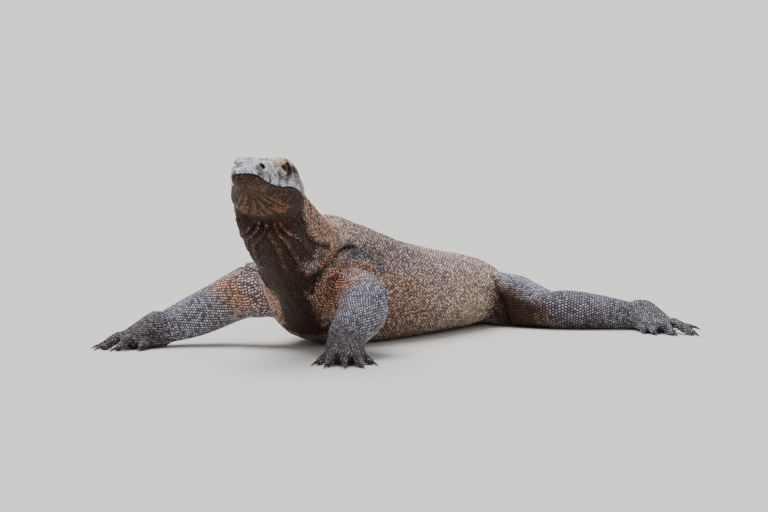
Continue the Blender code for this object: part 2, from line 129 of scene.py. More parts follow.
# %% The spine and the tail
spine_points = [
    (0.077, -0.243, 0.292), (0.065, -0.212, 0.274), (0.056, -0.172, 0.244), (0.049, -0.126, 0.210),
    (0.036, -0.070, 0.174), (0.015, -0.004, 0.146), (0.002, 0.070, 0.124), (0.000, 0.160, 0.104),
    (0.000, 0.260, 0.090), (0.000, 0.360, 0.081), (0.000, 0.460, 0.071), (0.000, 0.550, 0.062),
    (0.000, 0.630, 0.054), (0.000, TAIL_START, 0.046),
]
turn_length = math.pi * TAIL_TURN
tail_length = turn_length + TAIL_RUN
tail_runs = [turn_length * k / 8 for k in range(1, 9)]
tail_runs += [turn_length + TAIL_RUN * k / 5 for k in range(1, 6)]
for run in tail_runs:
    angle = min(run / TAIL_TURN, math.pi)
    straight = max(run - turn_length, 0)
    x = TAIL_TURN * (math.cos(angle) - 1) + 0.10 * straight**2 / TAIL_RUN
    y = TAIL_START + TAIL_BACK * math.sin(angle) - straight
    spine_points.append((x, y, 0.46 * (0.084 * (1 - run / tail_length) ** 0.70 + 0.007)))
AXIAL = [name for name in FLESH if name.startswith(("neck", "chest", "belly", "pelvis", "tail"))]
SPINE = Line(spine_points, 0.17, AXIAL)
print("the spine has", len(spine_points), "points, and the tail is", round(tail_length, 3), "m long")

# %% The legs, from inside the trunk to the wrist or ankle
Limb = namedtuple("Limb", "line foot ankle heading side digits")
HAND_DIGITS = (
    (0.030, -0.018, -44, 0.044), (0.054, -0.017, -18, 0.050), (0.060, -0.002, 0, 0.056),
    (0.056, 0.014, 15, 0.052), (0.030, 0.018, 42, 0.042),
)
FOOT_DIGITS = (
    (0.050, -0.020, -22, 0.040), (0.066, -0.016, -12, 0.052), (0.074, -0.002, 2, 0.068),
    (0.072, 0.014, 14, 0.086), (0.018, 0.012, 66, 0.078),
)
LIMBS = [
    Limb(Line([
        (0.036, 0.008, 0.110), (0.080, 0.002, 0.106), (0.118, -0.008, 0.102), (0.148, -0.030, 0.096),
        (0.163, -0.066, 0.080), (0.167, -0.106, 0.058), (0.168, -0.142, 0.040),
    ], 0.075, ["upper_arm_left", "forearm_left"]), "hand_left", (0.168, -0.136, 0), 30, 1, HAND_DIGITS),
    Limb(Line([
        (-0.036, 0.008, 0.110), (-0.080, 0.002, 0.106), (-0.120, 0.002, 0.096), (-0.156, -0.008, 0.078),
        (-0.188, -0.030, 0.060), (-0.218, -0.058, 0.044), (-0.238, -0.084, 0.034),
    ], 0.075, ["upper_arm_right", "forearm_right"]), "hand_right", (-0.240, -0.086, 0), -32, -1, HAND_DIGITS),
    Limb(Line([
        (0.020, 0.590, 0.056), (0.070, 0.580, 0.058), (0.156, 0.560, 0.051), (0.212, 0.553, 0.041),
        (0.262, 0.560, 0.040), (0.328, 0.592, 0.035), (0.384, 0.620, 0.025),
    ], 0.080, ["thigh_left", "shank_left"]), "foot_left", (0.382, 0.622, 0), 50, 1, FOOT_DIGITS),
    Limb(Line([
        (-0.020, 0.590, 0.056), (-0.070, 0.580, 0.058), (-0.140, 0.526, 0.066), (-0.202, 0.484, 0.070),
        (-0.252, 0.500, 0.060), (-0.264, 0.554, 0.047), (-0.254, 0.606, 0.037),
    ], 0.080, ["thigh_right", "shank_right"]), "foot_right", (-0.252, 0.608, 0), -66, -1, FOOT_DIGITS),
]


def level(degrees):
    """The level direction that lies `degrees` to the left of straight ahead."""
    angle = math.radians(degrees)
    return Vector((math.sin(angle), -math.cos(angle), 0))


DIGIT_ARCH = ((-0.15, 0.016), (0.25, 0.0165), (0.5, 0.0170), (0.75, 0.010), (1.0, 0.0055), (1.12, 0.005))


def digit_line(limb, ahead, out, turn, length):
    """From inside the palm to the claw, arched at the middle joint."""
    base = Vector(limb.ankle) + level(limb.heading) * ahead
    base += level(limb.heading + 90 * limb.side) * out
    heading = level(limb.heading + turn * limb.side)
    points = [base + heading * (length * share) + Vector((0, 0, height)) for share, height in DIGIT_ARCH]
    return Line(points, 0.0165, [limb.foot])


PALMS = [Line([Vector(limb.ankle) + level(limb.heading) * d + Vector((0, 0, z))
               for d, z in ((-0.020, 0.028), (0.015, 0.026), (0.045, 0.018), (0.085, 0.012))],
              0.046, [limb.foot]) for limb in LIMBS]
DIGITS = [digit_line(limb, *digit) for limb in LIMBS for digit in limb.digits]
print(len(PALMS), "palms and", len(DIGITS), "digits")

# %% [markdown]
# ## One skin
# A lizard's hide has no seams, so the parts of flesh are merged and wrapped again in one even net of
# quads. A voxel remesh does that whatever the parts' own faces are, and closes the thin cuts. Each part
# is swelled a little first so that they overlap. The eyes are wrapped in too, for the lids to bulge over.

# %% The parts as one mesh, and which part each face came from
def made_from(form, name):
    """A mesh object of that name from a bmesh, in the scene."""
    mesh = bpy.data.meshes.new(name)
    form.to_mesh(mesh)
    form.free()
    thing = bpy.data.objects.new(name, mesh)
    bpy.context.scene.collection.objects.link(thing)
    return thing


VOXEL = 0.0047
SWELL = 0.0004  # closes cuts of 0.3 mm
owners = []
corners = []
faces = []
body = bmesh.new()
for index, name in enumerate(FLESH + EYES):
    part = bmesh.new()
    part.from_mesh(NODES[name].data)
    bmesh.ops.remove_doubles(part, verts=part.verts, dist=1e-6)
    bmesh.ops.triangulate(part, faces=part.faces)
    start = len(corners)
    corners += [v.co.copy() for v in part.verts]
    faces += [[start + v.index for v in face.verts] for face in part.faces]
    owners += [index] * len(part.faces)
    for v in part.verts:
        v.co += v.normal * SWELL
    mesh = bpy.data.meshes.new(name + "_copy")
    part.to_mesh(mesh)
    part.free()
    body.from_mesh(mesh)
    bpy.data.meshes.remove(mesh)
CAD_TREE = BVHTree.FromPolygons(corners, faces)
OWNERS = np.array(owners)
skin = made_from(body, "skin")
print(len(skin.data.polygons), "faces of the solids merged")


# %% The wrap
def applied(thing):
    """The mesh that a thing's modifiers make, set as its own."""
    bpy.context.view_layer.update()
    made = bpy.data.meshes.new_from_object(thing.evaluated_get(bpy.context.evaluated_depsgraph_get()))
    thing.modifiers.clear()
    thing.data = made
    return made


wrap = skin.modifiers.new("wrap", "REMESH")
wrap.mode = "VOXEL"
wrap.voxel_size = VOXEL
applied(skin)
print("the wrap has", len(skin.data.polygons), "faces")


# %% Reading and writing many corners at once
def read_rows(rows, name):
    """A vector of each row of a mesh's data, as an array."""
    values = np.empty(len(rows) * 3, np.float32)
    rows.foreach_get(name, values)
    return values.reshape(-1, 3).astype(float)


def positions():
    return read_rows(skin.data.vertices, "co")


def normals():
    return read_rows(skin.data.vertex_normals, "vector")


def place_corners(points):
    skin.data.vertices.foreach_set("co", points.astype(np.float32).ravel())
    skin.data.update()


def joins(mesh):
    """The two ends of each edge, and how many edges meet at each corner."""
    ends = np.empty(len(mesh.edges) * 2, np.int64)
    mesh.edges.foreach_get("vertices", ends)
    ends = ends.reshape(-1, 2)
    return ends, np.bincount(ends.ravel(), minlength=len(mesh.vertices))


def blurred(values, times=1):
    """Values that each corner takes from the mean of its neighbours, for one column or several."""
    for _ in range(times):
        columns = values.reshape(len(values), -1)
        total = np.empty_like(columns)
        for k in range(columns.shape[1]):
            total[:, k] = np.bincount(EDGES[:, 0], columns[EDGES[:, 1], k], len(values))
            total[:, k] += np.bincount(EDGES[:, 1], columns[EDGES[:, 0], k], len(values))
        values = (total / COUNTS[:, None]).reshape(values.shape)
    return values


def towards_mean(points, share):
    """Points moved a share of the way to their neighbours' mean."""
    return points + share * (blurred(points) - points)


def rise(values, low, high):
    """0 below low, 1 above high, and a smooth step between."""
    t = np.clip((values - low) / (high - low), 0, 1)
    return t * t * (3 - 2 * t)


# %% [markdown]
# ## Finer where the detail is
# The head carries lips, lids and nostrils a few millimetres across, so its faces are split once, again
# round the eyes, nostrils and mouth, and once more at the lids and nostrils. Splitting only there keeps
# the skin light.

# %% Splitting faces near the head's features
def in_head(points):
    """Ahead of the skull's back, out to the left, and up, in the head's own frame."""
    inverse = np.array(HEAD_PLACE.inverted())
    local = points @ inverse[:3, :3].T + inverse[:3, 3]
    return -local[:, 1], local[:, 0], local[:, 2]


# The line where the lips meet: a share of the head's length, and metres up.
MOUTH = np.array([(0.26, -0.006), (0.36, -0.001), (0.43, -0.001), (0.55, -0.006), (0.66, -0.008),
                  (0.81, -0.009), (0.93, -0.006), (0.99, -0.001), (1.2, -0.001)])
NOSTRIL = (0.178, 0.0232, 0.0162)  # ahead, out and up
PAST_SNOUT = 0.23


def split_where(chosen):
    """Splits the skin's edges with both ends among the chosen corners."""
    form = bmesh.new()
    form.from_mesh(skin.data)
    form.verts.ensure_lookup_table()
    edges = [e for e in form.edges if chosen[e.verts[0].index] and chosen[e.verts[1].index]]
    bmesh.ops.subdivide_edges(form, edges=edges, cuts=1, use_grid_fill=True)
    form.to_mesh(skin.data)
    form.free()


def mouth_height(ahead):
    return np.interp(ahead / HEAD_LENGTH, MOUTH[:, 0], MOUTH[:, 1])


def near_features(eye_reach, nostril_reach):
    """Which corners are near an eye or a nostril."""
    points = positions()
    ahead, out, up = in_head(points)
    to_eyes = [np.linalg.norm(points - np.array(centre), axis=1) for centre in EYE_CENTRES.values()]
    to_nostril = (ahead - NOSTRIL[0]) ** 2 + (np.abs(out) - NOSTRIL[1]) ** 2 + (up - NOSTRIL[2]) ** 2
    return (np.min(to_eyes, axis=0) < eye_reach) | (to_nostril < nostril_reach**2)


ahead, out, up = in_head(positions())
split_where((ahead > 0.0) & (ahead < PAST_SNOUT) & (np.abs(out) < 0.075) & (up > -0.075))
ahead, out, up = in_head(positions())
near_mouth = (np.abs(up - mouth_height(ahead)) < 0.0045) & (ahead > 0.046) & (ahead < PAST_SNOUT)
split_where(near_features(0.0165, 0.011) | near_mouth)
split_where(near_features(0.0135, 0.0075))
print("the skin has", len(skin.data.vertices), "corners and", len(skin.data.polygons), "faces")

# %% Which part each corner of the skin belongs to
P = positions()
PART = np.array([OWNERS[CAD_TREE.find_nearest(Vector(p))[2]] for p in P])
PART_NAMES = FLESH + EYES


def among(parts, starts):
    """Which of the numbered parts have a name with one of those starts."""
    return np.isin(parts, [i for i, name in enumerate(PART_NAMES) if name.startswith(starts)])


def part_mask(*starts):
    """1 on the skin of the parts with those starts, and 0 elsewhere."""
    return among(PART, starts).astype(float)


# %% [markdown]
# ## Rounding off the facets
# The solids' flat facets would show through the scales. Each corner moves towards its neighbours' mean
# and then a little past its old place, which rounds facets and keeps the volume. The trunk's facets are
# wide and take many turns of this. The toes' are small, and would melt, so they take few.

# %% Smoothing
EDGES, COUNTS = joins(skin.data)
SKULL = ("head", "lower_jaw", "eye")
SMOOTHING_TURNS = 70
softness = np.full(len(P), 1.0)
softness[among(PART, SKULL)] = 0.30
softness[among(PART, ("hand", "foot"))] = 0.16
weight = blurred(softness, 6)[:, None]
for _ in range(SMOOTHING_TURNS):
    P = towards_mean(P, 0.50 * weight)
    P = towards_mean(P, -0.52 * weight)
# The throat's skin runs from the jaw to the neck without a step: there the mean alone is taken.
ahead, out, up = in_head(P)
step_at_jaw = rise(ahead, -0.035, -0.005) * rise(-ahead, -0.075, -0.035) * rise(-up, -0.005, 0.02)
JAW_TURNS = 60
for _ in range(JAW_TURNS):
    P = towards_mean(P, 0.6 * step_at_jaw[:, None])
place_corners(P)

# %% The coat's depth
# The skin lies this far inside the solids, for the scales to rise to the outline.
COAT = 0.0011
THIN_COAT = 0.0007
FLOOR_GAP = 0.0009
depth = np.where(among(PART, (*SKULL, "hand", "foot")), THIN_COAT, COAT)
P = P - normals() * depth[:, None]
P[:, 2] = np.maximum(P[:, 2], FLOOR_GAP)
place_corners(P)
print("the skin's box", P.min(axis=0).round(4), P.max(axis=0).round(4))

# %% [markdown]
# ## Folds and creases
# Loose hide folds where the body bends: in front of the shoulder, over the armpit, where the flank
# drapes over the thigh, under the jaw. A sculptor would drag these with a brush. Here each is a line laid
# on the hide by anatomy, and the hide sinks along it and swells into a lip beside it.

# %% Lines on the hide
def hide_tree():
    """The hide as it now is, for casting rays at it."""
    return BVHTree.FromPolygons(P.tolist(), [tuple(face.vertices) for face in skin.data.polygons])


def on_hide(line, place, degrees):
    """A spot on the hide: from the line's place, at degrees up from its left."""
    _, left, over = line.axes(place)
    turn = math.radians(degrees)
    centre = line.at(place)
    ray = left * math.cos(turn) + over * math.sin(turn)
    hit, _, _, _ = HIDE.ray_cast(centre, ray, 1.3 * line.reach)
    return np.array(hit if hit else centre + ray * (0.6 * line.reach))


def traces(line, keys):
    """Spots about 3 mm apart on the hide, through (place, degrees) keys: on the left, and on the right."""
    for mirror in (False, True):
        # The right thigh leaves the hip lower, so its lines start further down.
        used = np.array([key for key in keys if not (mirror and line is leg and key[0] < 1.80)], float)
        steps = np.linspace(0, len(used) - 1, 14 * (len(used) - 1) + 1)
        places = np.interp(steps, range(len(used)), used[:, 0])
        turns = np.interp(steps, range(len(used)), used[:, 1])
        turns = 180 - turns if mirror else turns
        on = OTHER_SIDE[line] if mirror else line
        yield mirror, np.array([on_hide(on, place, turn) for place, turn in zip(places, turns)])


def near_trace(spots, reach):
    """Which corners lie within reach of a trace, how far, on which side, and how near its ends."""
    inside = np.flatnonzero(((P > spots.min(axis=0) - reach) & (P < spots.max(axis=0) + reach)).all(axis=1))
    offset = P[inside][:, None] - spots
    gaps = np.linalg.norm(offset, axis=2)
    closest = gaps.argmin(axis=1)
    rows = np.arange(len(inside))
    tangents = np.gradient(spots, axis=0)
    tangents /= np.linalg.norm(tangents, axis=1)[:, None] + 1e-9
    outward = np.cross(N[inside], tangents[closest])
    side = np.sign((offset[rows, closest] * outward).sum(axis=1))
    share = closest / (len(spots) - 1)
    fade = rise(np.minimum(share, 1 - share), -0.02, 0.16)
    return inside, gaps[rows, closest], side, fade


# %% The folds of neck, trunk and legs
HIDE = hide_tree()
N = normals()
arm, leg = LIMBS[0].line, LIMBS[2].line
OTHER_SIDE = {SPINE: SPINE, arm: LIMBS[1].line, leg: LIMBS[3].line}
# Line, (place, degrees) keys, width and depth of the crease, height of the lip beside it, all in mm.
FOLDS = (
    (SPINE, ((5.28, 30), (4.76, 26), (4.11, 10), (3.91, -10), (3.65, -37), (3.71, -52), (3.90, -64)),
     5.0, 8.0, -4.5),
    (SPINE, ((0.20, -16), (0.59, -15), (1.11, -21), (2.02, -24), (2.74, -19), (3.26, -5), (3.60, 6)),
     4.6, 5.5, 3.0),
    (SPINE, ((0.30, -84), (0.59, -77), (1.24, -66), (1.89, -62), (2.48, -60), (3.10, -57)), 2.8, 3.4, 3.2),
    (SPINE, ((0.30, -76), (0.65, -64), (1.37, -52), (1.89, -43), (2.40, -38)), 2.8, 3.6, 3.2),
    (SPINE, ((0.40, -101), (0.65, -90), (1.37, -79), (2.02, -78), (2.80, -78)), 2.6, 2.8, 2.6),
    (SPINE, ((0.40, -42), (0.90, -36), (1.50, -33), (2.10, -31)), 2.8, 2.4, 1.8),
    (SPINE, ((2.80, -22), (3.00, -34), (2.95, -48), (3.10, -62)), 3.2, 3.0, -2.0),
    (SPINE, ((1.50, 30), (1.75, 10), (1.90, -8)), 3.0, 2.2, 1.6),
    (SPINE, ((2.30, 44), (2.60, 20), (2.85, 0)), 3.0, 2.0, 1.6),
    (SPINE, ((4.10, -34), (4.50, -16), (4.90, -6), (5.21, 1), (5.67, 7), (6.00, 7), (6.30, -1)),
     3.6, 5.0, 5.5),
    (SPINE, ((4.35, 0), (4.70, 9), (5.20, 15), (5.70, 20), (6.10, 19)), 2.2, 2.4, -1.0),
    (SPINE, ((4.80, 14), (5.20, 20), (5.73, 27), (6.20, 27), (6.50, 20)), 8.0, 2.6, 0.0),
    (SPINE, ((4.90, 20), (5.30, 26), (5.80, 33), (6.30, 31), (6.70, 24)), 2.0, 2.2, 1.8),
    (SPINE, ((5.05, 32), (5.50, 38), (6.00, 38), (6.50, 33)), 2.0, 1.8, 1.6),
    (SPINE, ((5.50, 22), (5.90, 24), (6.30, 18), (6.50, 8)), 1.8, 1.8, 1.2),
    (SPINE, ((7.00, -26), (7.49, -21), (7.95, -15), (8.30, -12), (8.80, -15), (9.30, -21)), 3.4, 4.2, 3.6),
    (SPINE, ((10.30, 24), (10.55, 15), (10.69, 8), (10.85, 13), (11.05, 22)), 3.4, 3.6, 1.6),
    (arm, ((1.42, 20), (1.50, 50), (1.55, 75), (1.62, 105)), 4.0, 3.2, -2.0),
    (arm, ((3.30, 150), (3.45, 170), (3.50, 190)), 4.0, 2.2, 1.0),
    (arm, ((5.55, 20), (5.50, 60), (5.50, 110), (5.60, 160)), 2.6, 1.5, 0.9),
    (arm, ((5.15, 30), (5.10, 80), (5.15, 140)), 2.6, 1.1, 0.7),
    (leg, ((1.50, 66), (1.62, 44), (1.74, 27), (1.86, 12), (1.95, -2), (2.05, -20), (2.08, -38), (2.10, -54)),
     6.0, 8.0, -6.5),
    (leg, ((2.62, 84), (2.81, 43), (3.04, 15), (3.22, -11)), 6.5, 2.6, 0.8),
    (leg, ((3.60, 40), (3.72, 10), (3.80, -20)), 4.0, 1.4, 0.8),
    (leg, ((5.50, 120), (5.45, 80), (5.45, 40), (5.55, 0)), 2.8, 1.5, 0.9),
    (leg, ((5.05, 110), (5.00, 70), (5.02, 30)), 2.6, 1.1, 0.7),
)
relief = np.zeros(len(P))
for line, keys, width, depth, lip in FOLDS:
    for mirror, spots in traces(line, keys):
        w = width / 1000
        inside, gap, side, fade = near_trace(spots, 4 * w)
        side = -side if mirror else side
        shape = -depth / 1000 * np.exp(-(gap / w) ** 2)
        beside = gap * side * math.copysign(1, lip) - 1.7 * w
        shape += abs(lip) / 1000 * np.exp(-(beside / (1.2 * w)) ** 2)
        relief[inside] += fade * shape
print(2 * len(FOLDS), "folds, from", (relief.min() * 1000).round(1), "mm to", (relief.max() * 1000).round(1))

# %% Wrinkles of the throat and unevenness of the flesh
spine_places = np.linspace(0, SPINE.last, 260)
spine_spots = np.array([SPINE.at(place) for place in spine_places])
spine_axes = np.array([SPINE.axes(place) for place in spine_places])


def round_the_spine(points):
    """Place along the spine, and degrees up from either side, of every point."""
    nearest = np.concatenate([np.argmin(((chunk[:, None] - spine_spots) ** 2).sum(axis=2), axis=1)
                              for chunk in np.array_split(points, 40)])
    offset = points - spine_spots[nearest]
    height = (offset * spine_axes[nearest, 2]).sum(axis=1)
    aside = (offset * spine_axes[nearest, 1]).sum(axis=1)
    return spine_places[nearest], np.degrees(np.arctan2(height, np.abs(aside))), aside


AXIAL_SHARE = blurred(part_mask("neck", "chest", "belly", "pelvis", "tail", "lower_jaw"), 10)
RUN, AROUND, ASIDE = round_the_spine(P)
# The long crease down each side of the neck, as degrees at places along it: the throat hangs below.
neck_crease = np.interp(RUN, (0.2, 0.6, 1.1, 2.0, 2.5, 2.75, 3.25, 3.7, 4.3),
                        (-16, -15, -20, -24, -23, -19, -14, -20, -34))
THROAT = AXIAL_SHARE * rise(neck_crease - AROUND, -5, 9) * rise(5.4 - RUN, 0.0, 1.2)
flutes = np.array([noise.noise(Vector((degrees / 6.5, place * 0.9, aside > 0)))
                   for degrees, place, aside in zip(AROUND, RUN, ASIDE)])
lumps = np.array([noise.noise(Vector(p) * 28) for p in P])
FLUTE, LUMP = 0.0022, 0.0014  # metres high at most; the trunk's underside has no lumps
relief += FLUTE * THROAT * flutes
relief += LUMP * lumps * AXIAL_SHARE * rise(P[:, 2], 0.01, 0.05)

# %% [markdown]
# ## The head
# The head is seen closest, so it gets its own forms: a groove where the lips meet with a fuller upper
# lip, oval nostrils near the tip of the snout, ridges of bone over the eyes, a hollow before them, the
# swell of the jaw's muscles and an ear opening behind. All are set out in the head's own frame.

# %% Lips, brows and muscles
ahead, out, up = in_head(P)
IN_SKULL = blurred(part_mask(*SKULL), 3)
over_lip = up - mouth_height(ahead)
along_lip = IN_SKULL * rise(ahead, 0.044, 0.056)
# How far above the mouth's line, width and height: the groove, the full upper lip, the lower lip.
LIPS = ((0.0, 0.0011, -0.0024), (0.0046, 0.0030, 0.0011), (-0.0040, 0.0030, -0.0012))
for above, width, height in LIPS:
    relief += height * along_lip * np.exp(-((over_lip - above) / width) ** 2)
MOUTH_SHARE = along_lip * np.exp(-(over_lip / 0.0016) ** 2)


def swell(ahead_at, out_at, up_at, radius, height):
    """A round swelling of the head on both sides; a hollow where the height is negative."""
    gap2 = (ahead - ahead_at) ** 2 + (np.abs(out) - out_at) ** 2 + (up - up_at) ** 2
    return height * np.exp(-gap2 / radius**2)


def swells(*rows):
    """Several swellings, added up."""
    return sum(swell(*row) for row in rows)


for t in np.linspace(0, 1, 9):  # the brow, from behind the eye to before it
    relief += swell(0.074 + 0.044 * t, 0.0425 - 0.007 * t, 0.0430 - 0.005 * t, 0.0062, 0.0015)
# The brow's skin lies in oblique ridges about 4 mm apart.
BROW_RIDGE = 0.0042
brow = np.minimum(swells(*((0.094 + 0.022 * t, 0.0420 - 0.009 * t, 0.0415 - 0.003 * t, 0.0085, 1.0)
                           for t in np.linspace(0, 1, 5))), 1)
relief += 0.0007 * IN_SKULL * brow * np.sin((up * 0.80 - ahead * 0.60) * 2 * math.pi / BROW_RIDGE)
HEAD_FORMS = (  # ahead, out, up, radius and height, all in metres
    (0.100, 0.000, 0.051, 0.0150, -0.0028),  # dip between the brows
    (0.128, 0.000, 0.040, 0.0120, -0.0012),  # and before them
    (0.133, 0.034, 0.017, 0.0140, -0.0042),  # hollow between eye and nostril
    (0.169, 0.0265, 0.0160, 0.0075, 0.0022),  # swell behind the nostril
    (0.150, 0.020, 0.026, 0.0080, 0.0008),  # ridge of the snout's edge
    (0.040, 0.058, -0.014, 0.0190, 0.0042),  # jaw muscle
    (0.062, 0.048, 0.035, 0.0140, 0.0026),  # temple
    (0.066, 0.052, 0.020, 0.0120, -0.0012),  # hollow behind the eye
    (0.020, 0.030, 0.044, 0.0150, 0.0016),  # back of the skull
)
for row in HEAD_FORMS:
    relief += swell(*row)

# %% Wrinkles of the face
# Each through (ahead, out, up) spots, then its width and depth, all in mm.
WRINKLES = (
    (((124, 38, 15), (118, 41, 10), (104, 44.7, 8.6), (97, 47, 11.5), (93.6, 47.7, 16.5), (90, 48, 21)),
     1.7, 2.6),
    (((119, 39.5, 19), (111, 43, 14.5), (103, 45.5, 15.5), (98, 47, 20)), 1.3, 1.6),
    (((178, 28, 6), (172, 30, 3), (160, 32, 1.5), (148, 34, 3), (140, 36, 1)), 1.6, 1.4),
    (((170, 28, 9), (160, 31, 7), (150, 33, 8)), 1.4, 1.0),
    (((88, 47, 26), (78, 50, 27), (66, 52, 25)), 1.8, 1.6),
    (((80, 50, 14), (70, 53, 12), (58, 57, 12)), 1.8, 1.3),
    (((140, 6, -26), (118, 13, -31), (100, 20, -34), (70, 32, -36), (42, 40, -36)), 1.8, 1.8),
    (((136, 4, -25), (106, 12, -35), (66, 24, -43), (30, 30, -46)), 1.8, 2.0),
    (((141, 1, -26), (107, 1, -35), (68, 6, -45), (30, 8, -50)), 1.8, 1.8),
    (((145, 6, -24), (115, 12, -32), (83, 15, -39), (55, 20, -45), (25, 22, -48)), 1.6, 1.6),
    (((130, 18, -26), (92, 34, -33), (55, 46, -32)), 1.8, 1.6),
)
CREASED = np.zeros(len(P))
RIDGED = np.zeros(len(P))
mine = np.flatnonzero(IN_SKULL > 0.5)
spot = np.stack([ahead[mine], np.abs(out[mine]), up[mine]], axis=1)
for keys, width, depth in WRINKLES:
    keys = np.array(keys) / 1000
    steps = np.linspace(0, len(keys) - 1, 8 * len(keys))
    line = np.stack([np.interp(steps, range(len(keys)), keys[:, k]) for k in range(3)], axis=1)
    gap = np.linalg.norm(spot[:, None] - line, axis=2).min(axis=1) * 1000
    crease, ridge = np.exp(-(gap / width) ** 2), np.exp(-((gap - 2 * width) / width) ** 2)
    relief[mine] += depth * (0.45 * ridge - crease) / 1000
    CREASED[mine] = np.maximum(CREASED[mine], crease)
    RIDGED[mine] = np.maximum(RIDGED[mine], ridge)
pebbles = np.array([noise.noise(Vector(p) * 190) if share > 0.5 else 0.0
                    for p, share in zip(P, IN_SKULL)])
PEBBLE = 0.0006
relief += PEBBLE * pebbles * IN_SKULL
P = P + N * relief[:, None]
P[:, 2] = np.maximum(P[:, 2], FLOOR_GAP)
place_corners(P)


# %% Nostrils and ears
def pit(at, radii, facing, longest, depth, rim):
    """Sinks an oval pit on both sides of the head, and gives how deep each corner went, 0 to 1. Its
    spot and the ways that it faces and is longest are (ahead, out, up)."""
    global P
    sunk = np.zeros(len(P))
    for side in (1, -1):
        ahead, out, up = in_head(P)
        gaps = (ahead - at[0]) ** 2 + (out - side * at[1]) ** 2 + (up - at[2]) ** 2 + (IN_SKULL < 0.5)
        centre = gaps.argmin()
        normal = head_way(side * facing[1], -facing[0], facing[2]).normalized()
        long_way = head_way(side * longest[1], -longest[0], longest[2])
        long_way = (long_way - normal * long_way.dot(normal)).normalized()
        offset = P - P[centre]
        a = offset @ np.array(long_way)
        b = offset @ np.array(normal.cross(long_way))
        c = offset @ np.array(normal)
        oval = np.hypot(a / radii[0], b / radii[1]) + 99 * (np.abs(c) > 0.02)
        share = 1 - rise(oval, 0.72, 1.12)
        edge = np.exp(-((oval - 1.45) / 0.35) ** 2)
        P = P + np.array(normal) * (rim * edge - depth * share)[:, None]
        sunk = np.maximum(sunk, share)
    return sunk


N = normals()
NOSTRIL_SHARE = pit(NOSTRIL, radii=(0.0072, 0.0050), facing=(0.88, 0.46, 0.00), longest=(-0.23, 0.66, -0.71),
                    depth=0.0080, rim=0.0014)
EAR_SHARE = pit((0.022, 0.057, 0.008), radii=(0.0052, 0.0036), facing=(-0.1, 1.0, 0.1),
                longest=(0.3, 0.0, 1.0), depth=0.0050, rim=0.0008)
PITTED = np.maximum(NOSTRIL_SHARE, EAR_SHARE)
place_corners(P)

# %% [markdown]
# ## Eyelids
# A monitor's eye looks out of an almond-shaped gap in thick, wrinkled lids. Within the gap the skin is
# drawn back behind the eyeball, and outside it the skin is lifted over the ball. A separate soft rim
# then closes the edge between lid and eye.

# %% Opening the lids
LID_WIDE, LID_HIGH = math.radians(62), math.radians(45)  # half the gap, from the ball's centre
LID_THICK, LID_WRINKLE = 0.0014, 0.0005
BEHIND = 0.80  # of the ball's radius
SIDE = {name: 1 if name.endswith("left") else -1 for name in EYES}


def eye_axes(name):
    """The way out of the lids, and its forward and upward tangents."""
    side = SIDE[name]
    looks = head_way(0.88 * side, -0.44, 0.18).normalized()
    ahead_way = head_way(0, -1, 0.10)
    ahead_way = (ahead_way - looks * ahead_way.dot(looks)).normalized()
    over = ahead_way.cross(looks) if side < 0 else looks.cross(ahead_way)
    return looks, ahead_way, over


LID_SHARE = np.zeros(len(P))
for name in EYES:
    looks, ahead_way, over = eye_axes(name)
    offset = P - np.array(EYE_CENTRES[name])
    gap = np.linalg.norm(offset, axis=1)
    a, b, c = (offset @ np.array(axis) for axis in (ahead_way, over, looks))
    wide, high = np.arctan2(a, c), np.arctan2(b, c)
    oval = np.hypot(wide / LID_WIDE, high / LID_HIGH)
    close = (gap < 2.2 * EYE_RADIUS) & (c > -0.2 * EYE_RADIUS)
    # Inside the gap the skin goes behind the ball; round it, over the ball.
    wrinkle = LID_WRINKLE * np.cos((oval - 1.05) * 2 * math.pi / 0.40) * (oval < 2.1)
    lid = LID_THICK * (1 - rise(oval, 1.3, 2.2)) - wrinkle
    old = rise(oval, 1.8, 2.4)  # how much of the old place is kept
    wanted = np.maximum(gap, EYE_RADIUS + lid) * (1 - old) + gap * old
    wanted = np.where(oval < 1.0, BEHIND * EYE_RADIUS, wanted)
    # Corners next to the edge are drawn onto it, so that it runs smoothly.
    snap = np.where((oval > 0.80) & (oval < 1.25), 1 / np.maximum(oval, 0.1), 1.0)
    direction = np.stack([np.tan(wide * snap), np.tan(high * snap), np.ones(len(P))], axis=1)
    direction /= np.linalg.norm(direction, axis=1)[:, None]
    direction = direction @ np.array([ahead_way, over, looks])
    moved = np.array(EYE_CENTRES[name]) + direction * wanted[:, None]
    P = np.where((close & (oval < 2.4))[:, None], moved, P)
    LID_SHARE = np.maximum(LID_SHARE, np.where(close, 1 - rise(oval, 1.25, 2.0), 0))
place_corners(P)
print("lids opened round", len(EYES), "eyes of radius", round(EYE_RADIUS * 1000, 1), "mm")


# %% The soft rim of the lids
def rim_of_lids(name, sides=10, steps=56, thick=0.00085):
    """A closed tube along the gap's edge, just over the eyeball."""
    looks, ahead_way, over = eye_axes(name)
    form = bmesh.new()
    rings = []
    for k in range(steps):
        angle = 2 * math.pi * k / steps
        wide, high = 1.03 * LID_WIDE * math.cos(angle), 1.03 * LID_HIGH * math.sin(angle)
        outward = (looks + ahead_way * math.tan(wide) + over * math.tan(high)).normalized()
        centre = EYE_CENTRES[name] + outward * (EYE_RADIUS + 0.00055)
        away = ahead_way * math.cos(angle) + over * math.sin(angle)
        away = (away - outward * away.dot(outward)).normalized()
        rings.append([form.verts.new(centre + (away * math.cos(t) + outward * math.sin(t)) * thick)
                      for t in (2 * math.pi * j / sides for j in range(sides))])
    for ring, following in zip(rings, rings[1:] + rings[:1]):
        for j in range(sides):
            i = (j + 1) % sides
            form.faces.new((ring[j], ring[i], following[i], following[j])).smooth = True
    bmesh.ops.recalc_face_normals(form, faces=form.faces)
    thing = made_from(form, name.replace("eye", "lid_rim"))
    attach(thing, "root")
    return thing


